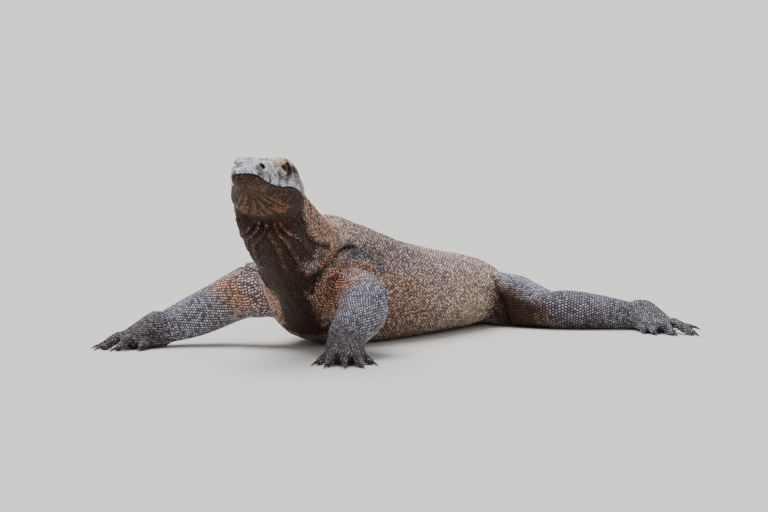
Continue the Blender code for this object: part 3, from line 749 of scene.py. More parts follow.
LID_RIMS = [rim_of_lids(name) for name in EYES]
print("lid rims:", [len(thing.data.polygons) for thing in LID_RIMS], "faces")

# %% [markdown]
# ## Camera, floor and light
# The animal is seen from its left front at nearly its own height, through a long lens from some metres
# away. The floor is plain and pale. A large soft light hangs overhead, as under a bright overcast sky.

# %% The camera
VIEW_AZIMUTH = math.radians(30)
VIEW_ELEVATION = math.radians(5)
VIEW_DISTANCE = 6.3
LENS, SENSOR = 166, 36  # millimetres
chest = SHOULDERS + Vector((0, 0, 0.12))
forward = Vector((-math.sin(VIEW_AZIMUTH) * math.cos(VIEW_ELEVATION),
                  math.cos(VIEW_AZIMUTH) * math.cos(VIEW_ELEVATION), -math.sin(VIEW_ELEVATION)))
right = forward.cross(Vector((0, 0, 1))).normalized()
stand_point = chest - forward * VIEW_DISTANCE
# The animal's chest is left of the middle of the view and a little below it.
aim = chest + right * 0.150 + right.cross(forward) * 0.046
camera = bpy.data.objects.new("camera", bpy.data.cameras.new("camera"))
camera.data.sensor_width = SENSOR
camera.data.lens = LENS
camera.data.dof.use_dof = False
bpy.context.scene.collection.objects.link(camera)
camera.location = stand_point
camera.rotation_euler = (aim - stand_point).to_track_quat("-Z", "Y").to_euler()
bpy.context.scene.camera = camera


# %% Nodes, colours and lights
def linear(code):
    """An sRGB hex value as linear red, green, blue and 1."""
    values = [int(code[k:k + 2], 16) / 255 for k in (1, 3, 5)]
    return [v / 12.92 if v <= 0.04045 else ((v + 0.055) / 1.055) ** 2.4 for v in values] + [1.0]


def feed(node, inputs):
    """Gives a node's inputs their values or links."""
    for key, value in inputs.items():
        if isinstance(value, bpy.types.NodeSocket):
            node.id_data.links.new(value, node.inputs[key])
        else:
            node.inputs[key].default_value = value


def add(tree, kind, inputs=None, **settings):
    """Adds a node of that kind, with its settings, and values or links for its inputs."""
    made = tree.nodes.new(kind)
    for name, value in settings.items():
        setattr(made, name, value)
    feed(made, inputs or {})
    return made


def soft_sun(name, direction, spread, power, colour):
    """A far light from a wide patch of sky, the same over the whole floor."""
    lamp = bpy.data.lights.new(name, "SUN")
    lamp.angle = math.radians(spread)
    lamp.energy = power
    lamp.color = linear(colour)[:3]
    thing = bpy.data.objects.new(name, lamp)
    thing.rotation_euler = Vector(direction).to_track_quat("-Z", "Y").to_euler()
    bpy.context.scene.collection.objects.link(thing)


soft_sun("overhead", (0.28, 0.10, -1.0), 50, 4.1, "#fdfcff")
soft_sun("front_fill", (-0.45, 0.75, -0.35), 60, 0.85, "#fff8ee")
world = bpy.data.worlds.new("studio")
bpy.context.scene.world = world
world.use_nodes = True
feed(world.node_tree.nodes["Background"], {"Color": linear("#e9edf2"), "Strength": 0.60})

# %% The floor
FLOOR_REACH = 120  # metres each way, so that no edge shows
form = bmesh.new()
bmesh.ops.create_grid(form, x_segments=8, y_segments=8, size=FLOOR_REACH)
floor = made_from(form, "floor")
chalk = bpy.data.materials.new("matt_pale_floor")
chalk.use_nodes = True
feed(chalk.node_tree.nodes["Principled BSDF"], {"Base Color": linear("#d9d7d2"), "Roughness": 0.85})
floor.data.materials.append(chalk)
floor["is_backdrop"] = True

# %% [markdown]
# ## Markings, and painted light and shade
# Masks say how each part is coloured: slate for the blue-grey of legs and feet, rust for the
# orange-brown of armpits and low flanks, blush for the pinkish hips, shade for the dark throat and groin,
# which is partly dark brown skin and partly painted shade under the jaw, chest, belly and legs and in
# creases, nostrils and the mouth, pale for the snout and cream for the brows and lids; pale and cream also
# paint light on the head's top, the thigh's top and the rear flank. They start from the parts, are blurred
# over the skin so that no part's edge shows, and are then touched up by anatomy. Skin and scales both read
# them.

# %% Masks of the parts
MASK_NAMES = ("slate", "rust", "blush", "shade", "pale", "cream")
TINTS = {
    "head": (0.55, 0.0, 0.0, 0.10, 0.15, 0.0),
    "lower_jaw": (0.35, 0.05, 0.0, 0.60, 0.05, 0.0),
    "eye": (0.3, 0.0, 0.0, 0.0, 0.3, 0.6),
    "neck": (0.0, 0.30, 0.10, 0.10, 0.0, 0.0),
    "chest": (0.05, 0.20, 0.20, 0.0, 0.0, 0.0),
    "belly": (0.05, 0.08, 0.40, 0.0, 0.0, 0.0),
    "pelvis": (0.05, 0.05, 0.60, 0.0, 0.0, 0.0),
    "tail": (0.55, 0.05, 0.0, 0.25, 0.0, 0.0),
    "upper_arm": (0.55, 0.30, 0.15, 0.05, 0.0, 0.0),
    "forearm": (0.90, 0.0, 0.10, 0.0, 0.0, 0.0),
    "thigh": (0.90, 0.05, 0.0, 0.15, 0.0, 0.0),
    "shank": (1.0, 0.0, 0.0, 0.30, 0.0, 0.0),
    "hand": (1.0, 0.0, 0.0, 0.70, 0.0, 0.0),
    "foot": (1.0, 0.0, 0.0, 0.45, 0.0, 0.0),
}


def by_part(table, other=None):
    """A table's value for the part that each corner belongs to, found by the start of its name."""
    values = [next((v for k, v in table.items() if name.startswith(k)), other) for name in PART_NAMES]
    return np.array(values)[PART]


TINT_BLUR = 28  # turns
MASK = dict(zip(MASK_NAMES, blurred(by_part(TINTS), TINT_BLUR).T))
P = positions()
N = normals()


def touch(share, **targets):
    """Draws each named mask towards its target where the share is 1."""
    for mask, target in targets.items():
        MASK[mask] += np.clip(share, 0, 1) * (target - MASK[mask])


def window(values, low, high, soft):
    """1 between low and high, fading over soft outside."""
    return rise(values, low - soft, low) * rise(-values, -high - soft, -high)


def on_trunk(places, degrees):
    """1 on the trunk within (low, high, soft) places along the spine and degrees round it."""
    return AXIAL_SHARE * window(RUN, *places) * window(AROUND, *degrees)


# %% Touching up by anatomy
low_flank = on_trunk((5.8, 9.5, 1.0), (-60, -4, 16))
touch(low_flank, rust=0.58)
# Painted shade: the low flank grows darker towards the belly.
touch(low_flank * rise(-AROUND, 2, 26), shade=0.36)
touch(on_trunk((5.8, 7.2, 0.8), (-60, 0, 16)), rust=0.75)
touch(on_trunk((5.6, 10.0, 1.0), (-60, 20, 16)), blush=0.45)
touch(on_trunk((9.0, 12.2, 1.8), (-60, 30, 16)), blush=1.0)
touch(AXIAL_SHARE * rise(AROUND, 35, 70) * window(RUN, 5.6, 10.5, 1.0), blush=0.30)
touch(AXIAL_SHARE * window(RUN, 3.0, 5.6, 0.6) * rise(AROUND, 20, 45), blush=0.75)
touch(AXIAL_SHARE * window(RUN, 9.0, 12.2, 1.2) * rise(AROUND, 10, 45), blush=0.80)
# Painted shade on the trunk's underside, towards the floor.
touch(AXIAL_SHARE * window(RUN, 5.6, 10.0, 1.0) * rise(-AROUND, 52, 66), shade=0.45)
# Painted light: cream lightens the rear flank, which faces sideways and gets little light.
touch(on_trunk((9.2, 11.0, 1.5), (-30, 25, 20)), cream=0.16)
tail_root = AXIAL_SHARE * rise(RUN, 11.5, 12.5) * rise(-RUN, -17.0, -12.0)
touch(tail_root, blush=0.50, slate=0.10, shade=0.0)
touch(on_trunk((10.1, 11.6, 0.4), (12, 50, 8)), rust=0.45)
# Salmon beads cover the neck's side above its long crease, to a line that slants back over the shoulder.
salmon = AXIAL_SHARE * rise(AROUND - neck_crease, 2, 14) * rise(RUN, 0.2, 1.2)
salmon *= rise(3.5 + 0.022 * AROUND - RUN, -0.15, 0.35)
touch(salmon, rust=0.95, blush=0.45)
# Where the head's share fades into the trunk's, the two add up to one.
throat = np.minimum(THROAT / np.maximum(AXIAL_SHARE, 0.01) * (AXIAL_SHARE + IN_SKULL), 1)
# The throat's dark brown is partly its own colour and partly painted shade under the jaw and neck.
touch(throat, shade=1.10)
touch(THROAT * rise(2.6 - RUN, 0.0, 2.4), rust=0.85)
touch(THROAT, slate=0.0)
# Painted shadow on the chest's underside, between the forelegs.
touch(AXIAL_SHARE * window(RUN, 2.6, 5.4, 0.4) * rise(-AROUND, 60, 74), shade=1.10)
touch(on_trunk((3.95, 5.2, 0.35), (-66, -22, 10)), shade=0.0, rust=0.80, blush=0.40)

# %% Markings, and painted shade, along lines
SPOTS = (  # line, (place, degrees) keys, reach in mm, then the masks and how strong they get
    (SPINE, ((0.30, -80), (0.59, -73), (1.24, -62), (1.89, -58), (2.48, -56), (3.10, -53)), 2.6,
     dict(shade=0.30, rust=0.7, blush=0.3)),
    (SPINE, ((0.30, -72), (0.65, -60), (1.37, -48), (1.89, -39), (2.40, -34)), 2.6,
     dict(shade=0.30, rust=0.7, blush=0.3)),
    (SPINE, ((0.40, -97), (0.65, -86), (1.37, -75), (2.02, -74), (2.80, -74)), 2.4,
     dict(shade=0.50, rust=0.7, blush=0.2)),
    (SPINE, ((2.90, -52), (3.20, -48), (3.35, -38), (3.10, -30)), 11,
     dict(slate=0.50, shade=0.10, blush=0.35)),
    (SPINE, ((3.98, 8), (3.76, -10), (3.50, -26), (3.30, -40), (3.25, -54)), 6,
     dict(rust=0.90, shade=0.05, slate=0.1)),
    (SPINE, ((2.55, -26), (2.75, -38), (2.80, -50)), 7, dict(shade=0.95)),
    (SPINE, ((5.80, 26), (6.10, 24), (6.40, 16)), 12, dict(slate=0.50, shade=0.30, blush=0.2)),
    (SPINE, ((4.95, 16), (5.30, 20), (5.73, 25)), 10, dict(slate=0.90, shade=0.50, rust=0.0, blush=0.0)),
    (SPINE, ((4.70, 26), (5.30, 33), (5.90, 37), (6.40, 33)), 4, dict(blush=0.60, shade=0.0)),
    (SPINE, ((3.91, -32), (4.11, -17), (4.56, -4), (5.15, 8), (5.60, 13), (5.90, 12)), 8,
     dict(rust=1.0, shade=0.0, slate=0.0)),
    # Painted shade in the creases: the fold before the shoulder, the neck's long crease and the fold along
    # the flank behind the arm.
    (SPINE, ((5.28, 30), (4.76, 26), (4.11, 10), (3.91, -10), (3.65, -37), (3.71, -52), (3.90, -64)), 5,
     dict(shade=1.25, rust=0.2, blush=0.0, slate=0.2)),
    (SPINE, ((0.20, -16), (0.59, -16), (1.11, -22), (2.02, -25), (2.74, -20), (3.26, -7), (3.60, 4)), 5.5,
     dict(shade=1.20, blush=0.0)),
    (SPINE, ((4.10, -36), (4.50, -18), (4.90, -8), (5.21, -1), (5.67, 5), (6.00, 5), (6.30, -3)), 3.5,
     dict(shade=1.1)),
    (arm, ((1.40, -20), (1.64, -21), (1.90, 10), (2.20, 34), (2.60, 46)), 22,
     dict(rust=0.90, slate=0.05, blush=0.25)),
    (arm, ((1.50, 70), (1.90, 80), (2.40, 80)), 15, dict(blush=0.55, rust=0.50, slate=0.20)),
    (arm, ((2.20, 150), (3.00, 170), (3.60, 190)), 13, dict(blush=0.45, slate=0.50)),
    # Painted shade in the groin's crease.
    (leg, ((1.60, 48), (1.78, 27), (1.90, 12), (2.00, -2), (2.10, -20), (2.14, -38), (2.16, -54)), 5,
     dict(shade=1.25, blush=0.0, slate=0.2)),
    # Under and inside the thigh the skin is darker: partly its own dark brown-red, partly painted shadow
    # under the leg.
    (leg, ((2.10, 4), (2.40, -8), (2.80, -16), (3.20, -28)), 24, dict(shade=1.3, rust=0.30, slate=0.1)),
    (leg, ((2.10, -30), (2.40, -45), (3.00, -55)), 30, dict(shade=1.4, rust=0.30, slate=0.1)),
    # Blue-grey on the thigh's top, lightened with pale as a painted highlight.
    (leg, ((1.80, 82), (2.00, 95), (2.40, 105), (2.90, 60)), 14, dict(slate=1.0, shade=0.0, pale=0.22)),
    # Painted shadow under the shank.
    (leg, ((3.2, -30), (4.0, -40), (4.8, -45)), 18, dict(shade=0.75)),
)
HIDE = hide_tree()
for line, keys, reach, targets in SPOTS:
    for _, spots in traces(line, keys):
        inside, gap, _, _ = near_trace(spots, 2.5 * reach / 1000)
        share = np.zeros(len(P))
        share[inside] = np.exp(-(gap * 1000 / reach) ** 2)
        touch(share, **targets)
print(2 * len(SPOTS), "markings along lines")

# %% Touching up the head
ahead, out, up = in_head(P)
over_lip = up - mouth_height(ahead)


def darken(share, strength):
    """Shade that no pale or cream covers."""
    touch(IN_SKULL * np.minimum(share, 1), pale=0.0, cream=0.0, shade=strength)


mottle = np.array([noise.noise(Vector(p) * 85) + 0.6 * noise.noise(Vector(p) * 230) if share > 0.1 else 0.0
                   for p, share in zip(P, IN_SKULL)])
upper = IN_SKULL * rise(over_lip, -0.001, 0.002)
lower = IN_SKULL * rise(-over_lip, 0.001, 0.004)
behind = IN_SKULL * rise(-ahead, -0.060, -0.015) * rise(up, -0.030, 0.000)
touch(behind, slate=0.10, rust=0.55, blush=0.50)
# The snout and the head's top are pale, partly their own colour and partly painted sky light,
# strongest where the skin faces up. The snout's front and sides are lavender grey.
facing_up = N @ np.array(head_way(0, 0, 1))
touch(upper * rise(ahead, 0.095, 0.140), pale=0.60 + 0.40 * rise(facing_up, 0.15, 0.75), slate=0.85)
touch(upper * window(up, 0.030, 0.10, 0.010) * rise(ahead, 0.03, 0.07), pale=0.85)
touch(upper * window(over_lip, 0.000, 0.010, 0.004) * rise(ahead, 0.050, 0.080), pale=0.80)
touch(upper * swell(0.078, 0.052, 0.016, 0.010, 1.0), pale=0.75)
touch(upper * window(ahead, 0.050, 0.140, 0.02) * window(over_lip, 0.012, 0.030, 0.008), slate=0.75)
# Lavender grey clouds break the pale snout.
fore = upper * rise(ahead, 0.005, 0.060)
touch(fore * rise(mottle, 0.05, 0.30), pale=0.10, slate=1.0)
touch(fore * rise(mottle, 0.25, 0.55), shade=0.55)
touch(fore * rise(-mottle, 0.10, 0.35), pale=1.2)
# The lower jaw is dark brown, partly its own colour and partly painted shade on its underside, and grey by
# the lip.
touch(lower, pale=0.0, slate=0.10)
touch(lower * rise(over_lip, -0.012, -0.004), slate=0.40)
touch(lower * rise(-over_lip, 0.012, 0.026), rust=0.85)
touch(lower, shade=0.92)
touch(lower * rise(-over_lip, 0.006, 0.014), shade=1.0)
touch(lower * rise(mottle, 0.10, 0.35), shade=0.82)

# %% Round the eyes, along the snout and at the jaw's end
touch(IN_SKULL * brow, cream=1.15)
touch(LID_SHARE * rise(ahead, 0.102, 0.109), cream=0.90)
# Behind the eye the lids and the skin towards the temple are darkened: partly dark skin, partly painted shade
# of the deep-set eye under its brow.
darken(LID_SHARE * rise(-ahead, -0.108, -0.101), 1.2)
darken(1.3 * swells((0.080, 0.050, 0.031, 0.0085, 1.0), (0.062, 0.053, 0.029, 0.0085, 1.0)), 1.2)
below_eye = swells((0.106, 0.0450, 0.0150, 0.0045, 1.0), (0.096, 0.0480, 0.0125, 0.0030, 1.0))
touch(IN_SKULL * np.minimum(below_eye, 1), cream=0.90)
under_lid = swells((0.120, 0.0395, 0.0120, 0.0035, 1.0), (0.112, 0.0425, 0.0090, 0.0035, 1.0),
                   (0.103, 0.0450, 0.0075, 0.0030, 1.0), (0.122, 0.0385, 0.0170, 0.0035, 0.8))
# Painted shade in the crease under the lower lid.
darken(0.9 * under_lid, 0.80)
touch(IN_SKULL * np.minimum(under_lid, 1), rust=0.60)
# Painted shade along the crease from below the nostril back over the upper lip.
lip_crease_shade = swells(*((0.176 - 0.036 * t, 0.0285 + 0.0075 * t, 0.0045 - 0.003 * t, 0.0026, 0.6)
                      for t in np.linspace(0, 1, 12)))
darken(0.75 * lip_crease_shade, 0.70)
darken(0.8 * swell(0.191, 0.0225, 0.0060, 0.0040, 1.0), 0.60)
cloud = swells((0.150, 0.0335, 0.0230, 0.0085, 1.0), (0.136, 0.0350, 0.0270, 0.0070, 0.8),
               (0.172, 0.0300, 0.0060, 0.0050, 0.8), (0.075, 0.0520, 0.0130, 0.0060, 0.7))
touch(upper * np.minimum(cloud, 1), pale=0.10, slate=1.0, shade=0.38)
# Painted shade in the face's wrinkles above and below the lip, and lighter lines along their ridges below it.
darken(0.6 * CREASED * rise(over_lip, 0.0, 0.003), 0.80)
touch(lower * RIDGED * (1 - CREASED), shade=0.50, rust=1.0)
touch(lower * CREASED, shade=1.6)
# The jaw's end is as dark as the throat: partly painted shade under the head.
touch(lower * rise(-ahead, -0.075, -0.045), shade=1.15, blush=0.0)
outer_rim = swells((0.1715, 0.0285, 0.0150, 0.0034, 1.0), (0.1735, 0.0290, 0.0105, 0.0034, 1.0),
                   (0.1735, 0.0230, 0.0215, 0.0030, 1.0))
touch(IN_SKULL * np.minimum(outer_rim, 1), cream=1.10)
# Painted shade inside the nostrils and ear openings, and in the groove where the lips meet.
touch(PITTED, shade=1.8, pale=0.0)
touch(NOSTRIL_SHARE, cream=0.0)
touch(MOUTH_SHARE, shade=1.2, pale=0.0)
MASKS = np.column_stack([MASK[name] for name in MASK_NAMES])
print("masks' means", dict(zip(MASK_NAMES, MASKS.mean(axis=0).round(3))))

# %% [markdown]
# ## Rows of scales
# A monitor's scales are round beads of bone and horn in rows across the body. Random points would look
# like gravel, so each row is measured round the body: rays go out from the centre line to the skin, and
# beads are set an even distance apart along what they hit, from the middle of the back down both sides.
# Every second row starts half a bead further. Where rows of different lines meet, or a bead would
# sit on another, the later one is left out. The head and the joints, where scales are small and have
# no rows, are then filled by throwing points that must keep their distance: first for large beads, and
# twice more for smaller ones between them.

# %% The skin as something to measure on
quads = [tuple(face.vertices) for face in skin.data.polygons]
FOUR = np.array([q if len(q) == 4 else (q + q)[:4] for q in quads])
PITCH = {"head": 0.0027, "lower_jaw": 0.0029, "eye": 0.0020, "neck": 0.0050, "hand": 0.0044, "foot": 0.0046,
         "forearm": 0.0056, "shank": 0.0056}
PITCH_ELSEWHERE = 0.0058
PITCH_ON_LIDS = 0.0019
PITCH_BY_NOSTRIL = 0.0021
FINENESS = blurred(by_part(PITCH, PITCH_ELSEWHERE), 4)
FINENESS += LID_SHARE * (PITCH_ON_LIDS - FINENESS)
FINENESS += np.minimum(swell(*NOSTRIL, 0.008, 1.4), 1) * IN_SKULL * (PITCH_BY_NOSTRIL - FINENESS)
# No scale grows inside the lids' gap, a nostril, an ear or the mouth.
BARE = np.zeros(len(P), bool)
for centre in EYE_CENTRES.values():
    BARE |= np.linalg.norm(P - np.array(centre), axis=1) < EYE_RADIUS + 0.0002
BARE |= (PITTED > 0.35) | (MOUTH_SHARE > 0.5)


def on_face(face, spot, values):
    """The corners' values at a spot on a face of the skin, the nearest corner's most."""
    ring = FOUR[face]
    weight = 1 / (np.linalg.norm(P[ring] - np.array(spot), axis=1) + 1e-5)
    return weight @ values[ring] / weight.sum()


# %% One row round a line
Root = namedtuple("Root", "spot face lie length width")
RAYS = 36  # on each side
SHORTEST, LONGEST = 0.55, 1.35  # of a scale, in pitches
chances = np.random.default_rng(11)


def hits_around(line, place, side):
    """Spots on the skin from the back (first) to the belly (last), and whether each is a true hit."""
    along, left, over = line.axes(place)
    centre = line.at(place)
    spots = []
    true = []
    far = 0.4 * line.reach
    for k in range(RAYS + 1):
        angle = math.pi * k / RAYS
        ray = over * math.cos(angle) + left * (side * math.sin(angle))
        hit, _, _, distance = HIDE.ray_cast(centre, ray, line.reach)
        far = distance if hit else far
        spots.append(centre + ray * far)
        true.append(hit is not None)
    return np.array(spots), np.array(true), along


def row_roots(line, place, following, pitch, odd, stray):
    """Roots of one row: even steps round the body, longer where the next row is further off; beads
    stray from their steps, and differ in size, by a share of the pitch."""
    roots = []
    for side in (1, -1):
        spots, true, along = hits_around(line, place, side)
        ahead_spots, _, _ = hits_around(line, following, side)
        lengths = np.linalg.norm(ahead_spots - spots, axis=1)
        run = np.concatenate([[0], np.cumsum(np.linalg.norm(np.diff(spots, axis=0), axis=1))])
        steps = np.arange(0.5 if odd else (0 if side == 1 else 1), run[-1] / pitch, 1) * pitch
        sizes = 1 + stray * chances.uniform(-1.0, 0.4, len(steps))
        drift = stray * pitch * chances.uniform(-0.5, 0.5, len(steps))
        steps = np.clip(steps + stray * pitch * chances.uniform(-0.5, 0.5, len(steps)), 0, run[-1])
        for step, size, aside in zip(steps, sizes, drift):
            k = min(np.searchsorted(run, step, side="right") - 1, RAYS - 1)
            share = (step - run[k]) / max(run[k + 1] - run[k], 1e-9)
            if not (true[k] and true[k + 1]):
                continue
            spot = spots[k] * (1 - share) + spots[k + 1] * share
            spot, _, face, _ = HIDE.find_nearest(Vector(spot) + along * aside)
            if PART_NAMES[PART[FOUR[face][0]]] in line.names:
                length = min(max(lengths[k], SHORTEST * pitch), LONGEST * pitch)
                roots.append(Root(spot, face, along, length * size, pitch * size))
    return roots


# %% All the rows
ROW_STEP = 0.87  # from row to row, in pitches: beads of odd rows sit between those of even rows


def rows_on(line, start, end, pitches, step=ROW_STEP, stray=0.06):
    """Rows from place start to end, with the pitch between beads read from (place, pitch) pairs."""
    def pitch_at(place):
        return np.interp(place, *np.transpose(pitches))

    fine = np.linspace(start, end, 400)
    spots = np.array([line.at(place) for place in fine])
    travel = np.linalg.norm(np.diff(spots, axis=0), axis=1) / (step * pitch_at(fine)[:-1])
    run = np.concatenate([[0], np.cumsum(travel)])
    places = np.interp(np.arange(0, run[-1]), run, fine)
    roots = []
    for k, (place, following) in enumerate(zip(places, places[1:])):
        roots += row_roots(line, place, following, pitch_at(place), k % 2 == 1, stray)
    return roots


SPINE_PITCHES = ((0, 0.0046), (3, 0.0050), (5, 0.0054), (11, 0.0054),
                 (14, 0.0060), (18, 0.0054), (22, 0.0044), (26, 0.0030))
spine_roots = rows_on(SPINE, 0.6, SPINE.last - 0.05, SPINE_PITCHES, stray=0.34)
limb_roots = []
for limb in LIMBS:
    limb_roots += rows_on(limb.line, 0.9, limb.line.last, ((0, 0.0054), (4, 0.0052), (6, 0.0046)))
foot_roots = []
for line in PALMS:
    foot_roots += rows_on(line, 0.2, 2.4, ((0, 0.0048), (3, 0.0046)))
for line in DIGITS:
    foot_roots += rows_on(line, 0.5, 4.3, ((0, 0.0050), (5, 0.0042)), step=0.95)
print(len(spine_roots), "scales in rows on neck, trunk and tail,", len(limb_roots), "on the legs and",
      len(foot_roots), "on the feet")


# %% Leaving out those too close
class Crowd:
    """Spots kept a distance apart, found through a grid of cells."""

    def __init__(self, cell):
        self.cell = cell
        self.cells = {}

    def takes(self, spot, distance):
        """Keeps the spot if none kept before is nearer than the distance."""
        i, j, k = (int(math.floor(v / self.cell)) for v in spot)
        x, y, z = spot
        limit = distance * distance
        for cell in product((i - 1, i, i + 1), (j - 1, j, j + 1), (k - 1, k, k + 1)):
            for a, b, c in self.cells.get(cell, ()):
                if (a - x) ** 2 + (b - y) ** 2 + (c - z) ** 2 < limit:
                    return False
        self.cells.setdefault((i, j, k), []).append(spot)
        return True


crowd = Crowd(0.0062)  # a cell is wider than any distance asked for
APART = 0.70  # of a scale's width
kept = []
for roots in (foot_roots, limb_roots, spine_roots):
    kept += [root for root in roots if not BARE[FOUR[root.face]].any()
             and crowd.takes(tuple(root.spot), APART * min(root.width, root.length / ROW_STEP + 1e-4))]
print(len(kept), "of those kept")

# %% Filling the bare places
LINES = [SPINE, *(limb.line for limb in LIMBS), *PALMS, *DIGITS]
GUIDES_EACH = 60
guides = KDTree(GUIDES_EACH * len(LINES))
guide_lies = []
for line in LINES:
    for place in np.linspace(0.1, line.last, GUIDES_EACH):
        guides.insert(line.at(place), len(guide_lies))
        guide_lies.append(line.axes(place)[0])
guides.balance()
head_lie = head_way(0, 1, 0)
rng = np.random.default_rng(7)
on_skull = among(PART[FOUR[:, 0]], SKULL)
SKULL_BEADS = 1.18  # wider, because they touch each other there
thrown = []
order = rng.permutation(len(quads))
middles = P[FOUR].mean(axis=1)
for closeness in (0.92, 0.76, 0.60):  # large beads first, then smaller ones between them
    jitter = rng.uniform(-0.4, 0.4, (len(quads), 2))
    for face in order:
        ring = P[FOUR[face]]
        spot = middles[face] + (ring[1] - ring[0]) * jitter[face, 0] + (ring[2] - ring[1]) * jitter[face, 1]
        pitch = FINENESS[FOUR[face][0]]
        if not BARE[FOUR[face]].any() and crowd.takes(tuple(spot), closeness * pitch):
            lie = head_lie if on_skull[face] else guide_lies[guides.find(spot)[1]]
            width = (0.30 + 0.80 * closeness) * pitch * (SKULL_BEADS if on_skull[face] else 1.0)
            thrown.append(Root(Vector(spot), face, lie, 0.92 * width, width))
roots = kept + thrown
print(len(thrown), "thrown in between;", len(roots), "scales in all")

# %% [markdown]
# ## What a scale is made of
# Keratin over bone: a matt brown hide between the scales, and a paler crown on each, the bead darker towards
# its base. The markings are one node group. It gives the colour of the hide and the colour of the crowns at
# any spot, from the six masks, with noise to break their edges. Skin and scales both use it.

# %% The markings' group
markings = bpy.data.node_groups.new("markings", "ShaderNodeTree")
markings.interface.new_socket("Hide", in_out="OUTPUT", socket_type="NodeSocketColor")
markings.interface.new_socket("Crown", in_out="OUTPUT", socket_type="NodeSocketColor")
place = add(markings, "ShaderNodeTexCoord").outputs["Object"]
patch = add(markings, "ShaderNodeTexNoise", {"Vector": place, "Scale": 26.0, "Detail": 3.0}).outputs["Fac"]
speckle = add(markings, "ShaderNodeTexNoise", {"Vector": place, "Scale": 130.0, "Detail": 2.0}).outputs["Fac"]
# Trunk colours: two browns of hide and two of crowns, in patches about 40 mm across.
blend = add(markings, "ShaderNodeMapRange",
            {"Value": patch, "From Min": 0.40, "From Max": 0.62}).outputs["Result"]
hide = add(markings, "ShaderNodeMix", {"Factor": blend, "A": linear("#261d1a"), "B": linear("#352a26")},
           data_type="RGBA").outputs["Result"]
crown = add(markings, "ShaderNodeMix", {"Factor": blend, "A": linear("#a3938f"), "B": linear("#bfafab")},
            data_type="RGBA").outputs["Result"]
# What each mask brings in: the hide's colour and the crowns'.
OVERLAYS = (
    ("rust", "#3a1c0a", "#d08752"),
    ("blush", "#37241f", "#ecd0c4"),
    ("slate", "#191a22", "#acaab8"),
    # Shade's browns stand for dark skin and for painted shade; pale and cream also carry painted light in
    # places.
    ("shade", "#120800", "#3c2203"),
    ("pale", "#686a7a", "#eeeff6"),
    ("cream", "#8a7048", "#fbe9c2"),
)
for name, dark, light in OVERLAYS:
    mask = add(markings, "ShaderNodeAttribute", attribute_name=name).outputs["Fac"]
    broken = add(markings, "ShaderNodeMath", {0: speckle, 1: 0.5}, operation="SUBTRACT").outputs["Value"]
    broken = add(markings, "ShaderNodeMath", {0: broken, 1: 0.9, 2: mask},
                 operation="MULTIPLY_ADD").outputs["Value"]
    # Broken edges only where the mask is partly there.
    room = add(markings, "ShaderNodeMapRange", {"Value": mask, "From Max": 0.15}).outputs["Result"]
    factor = add(markings, "ShaderNodeMath", {0: broken, 1: room},
                 operation="MULTIPLY", use_clamp=True).outputs["Value"]
    hide = add(markings, "ShaderNodeMix", {"Factor": factor, "A": hide, "B": linear(dark)},
               data_type="RGBA").outputs["Result"]
    crown = add(markings, "ShaderNodeMix", {"Factor": factor, "A": crown, "B": linear(light)},
                data_type="RGBA").outputs["Result"]
add(markings, "NodeGroupOutput", {"Hide": hide, "Crown": crown})
print("markings:", len(markings.nodes), "nodes")


# %% Hide and scale materials
def start_material(name):
    """A new material, its tree and shader, and the places on the object for its patterns."""
    material = bpy.data.materials.new(name)
    material.use_nodes = True
    tree = material.node_tree
    return material, tree, tree.nodes["Principled BSDF"], add(tree, "ShaderNodeTexCoord").outputs["Object"]


# Hide: thin grained leather. Its grain is about 1.2 mm.
hide_leather, tree, shader, place = start_material("lizard_hide")
marks = add(tree, "ShaderNodeGroup", node_tree=markings).outputs
grain = add(tree, "ShaderNodeTexVoronoi", {"Vector": place, "Scale": 800.0}).outputs["Distance"]
worn = add(tree, "ShaderNodeMapRange", {"Value": grain, "To Min": 0.22, "To Max": 0.0}).outputs["Result"]
tone = add(tree, "ShaderNodeMix", {"Factor": worn, "A": marks["Hide"], "B": marks["Crown"]}, data_type="RGBA")
dent = add(tree, "ShaderNodeBump", {"Height": grain, "Strength": 0.4, "Distance": 0.0006}, invert=True)
feed(shader, {"Base Color": tone.outputs["Result"], "Normal": dent.outputs["Normal"],
              "Roughness": 0.62, "Specular IOR Level": 0.25})

# Scales: keratin, satin and a little glossy on the crowns.
scale_keratin, tree, shader, place = start_material("scale_keratin")
marks = add(tree, "ShaderNodeGroup", node_tree=markings).outputs
chance = add(tree, "ShaderNodeAttribute", attribute_name="chance").outputs["Fac"]
lift = add(tree, "ShaderNodeAttribute", attribute_name="lift").outputs["Fac"]
fade = add(tree, "ShaderNodeMapRange", {"Value": lift, "From Min": 0.30, "From Max": 0.90}).outputs["Result"]
dimmer = add(tree, "ShaderNodeMapRange", {"Value": chance, "To Min": 0.24, "To Max": 1.60}).outputs["Result"]
tint = add(tree, "ShaderNodeMix", {"Factor": fade, "A": marks["Hide"], "B": marks["Crown"]}, data_type="RGBA")
value = add(tree, "ShaderNodeHueSaturation", {"Value": dimmer, "Color": tint.outputs["Result"]})
scratch = add(tree, "ShaderNodeTexNoise", {"Vector": place, "Scale": 900.0, "Detail": 2.0}).outputs["Fac"]
rough = add(tree, "ShaderNodeMapRange", {"Value": scratch, "To Min": 0.34, "To Max": 0.58}).outputs["Result"]
dent = add(tree, "ShaderNodeBump", {"Height": scratch, "Strength": 0.25, "Distance": 0.0003})
feed(shader, {"Base Color": value.outputs["Color"], "Normal": dent.outputs["Normal"],
              "Roughness": rough, "Specular IOR Level": 0.30})
print("materials:", hide_leather.name, scale_keratin.name)

# %% [markdown]
# ## One scale, thousands of times
# A scale is a six-sided dome of 18 triangles: scales packed in rows press each other into six sides.
# Geometry Nodes set one on every root, turned to the skin and along the body, and make the copies real.

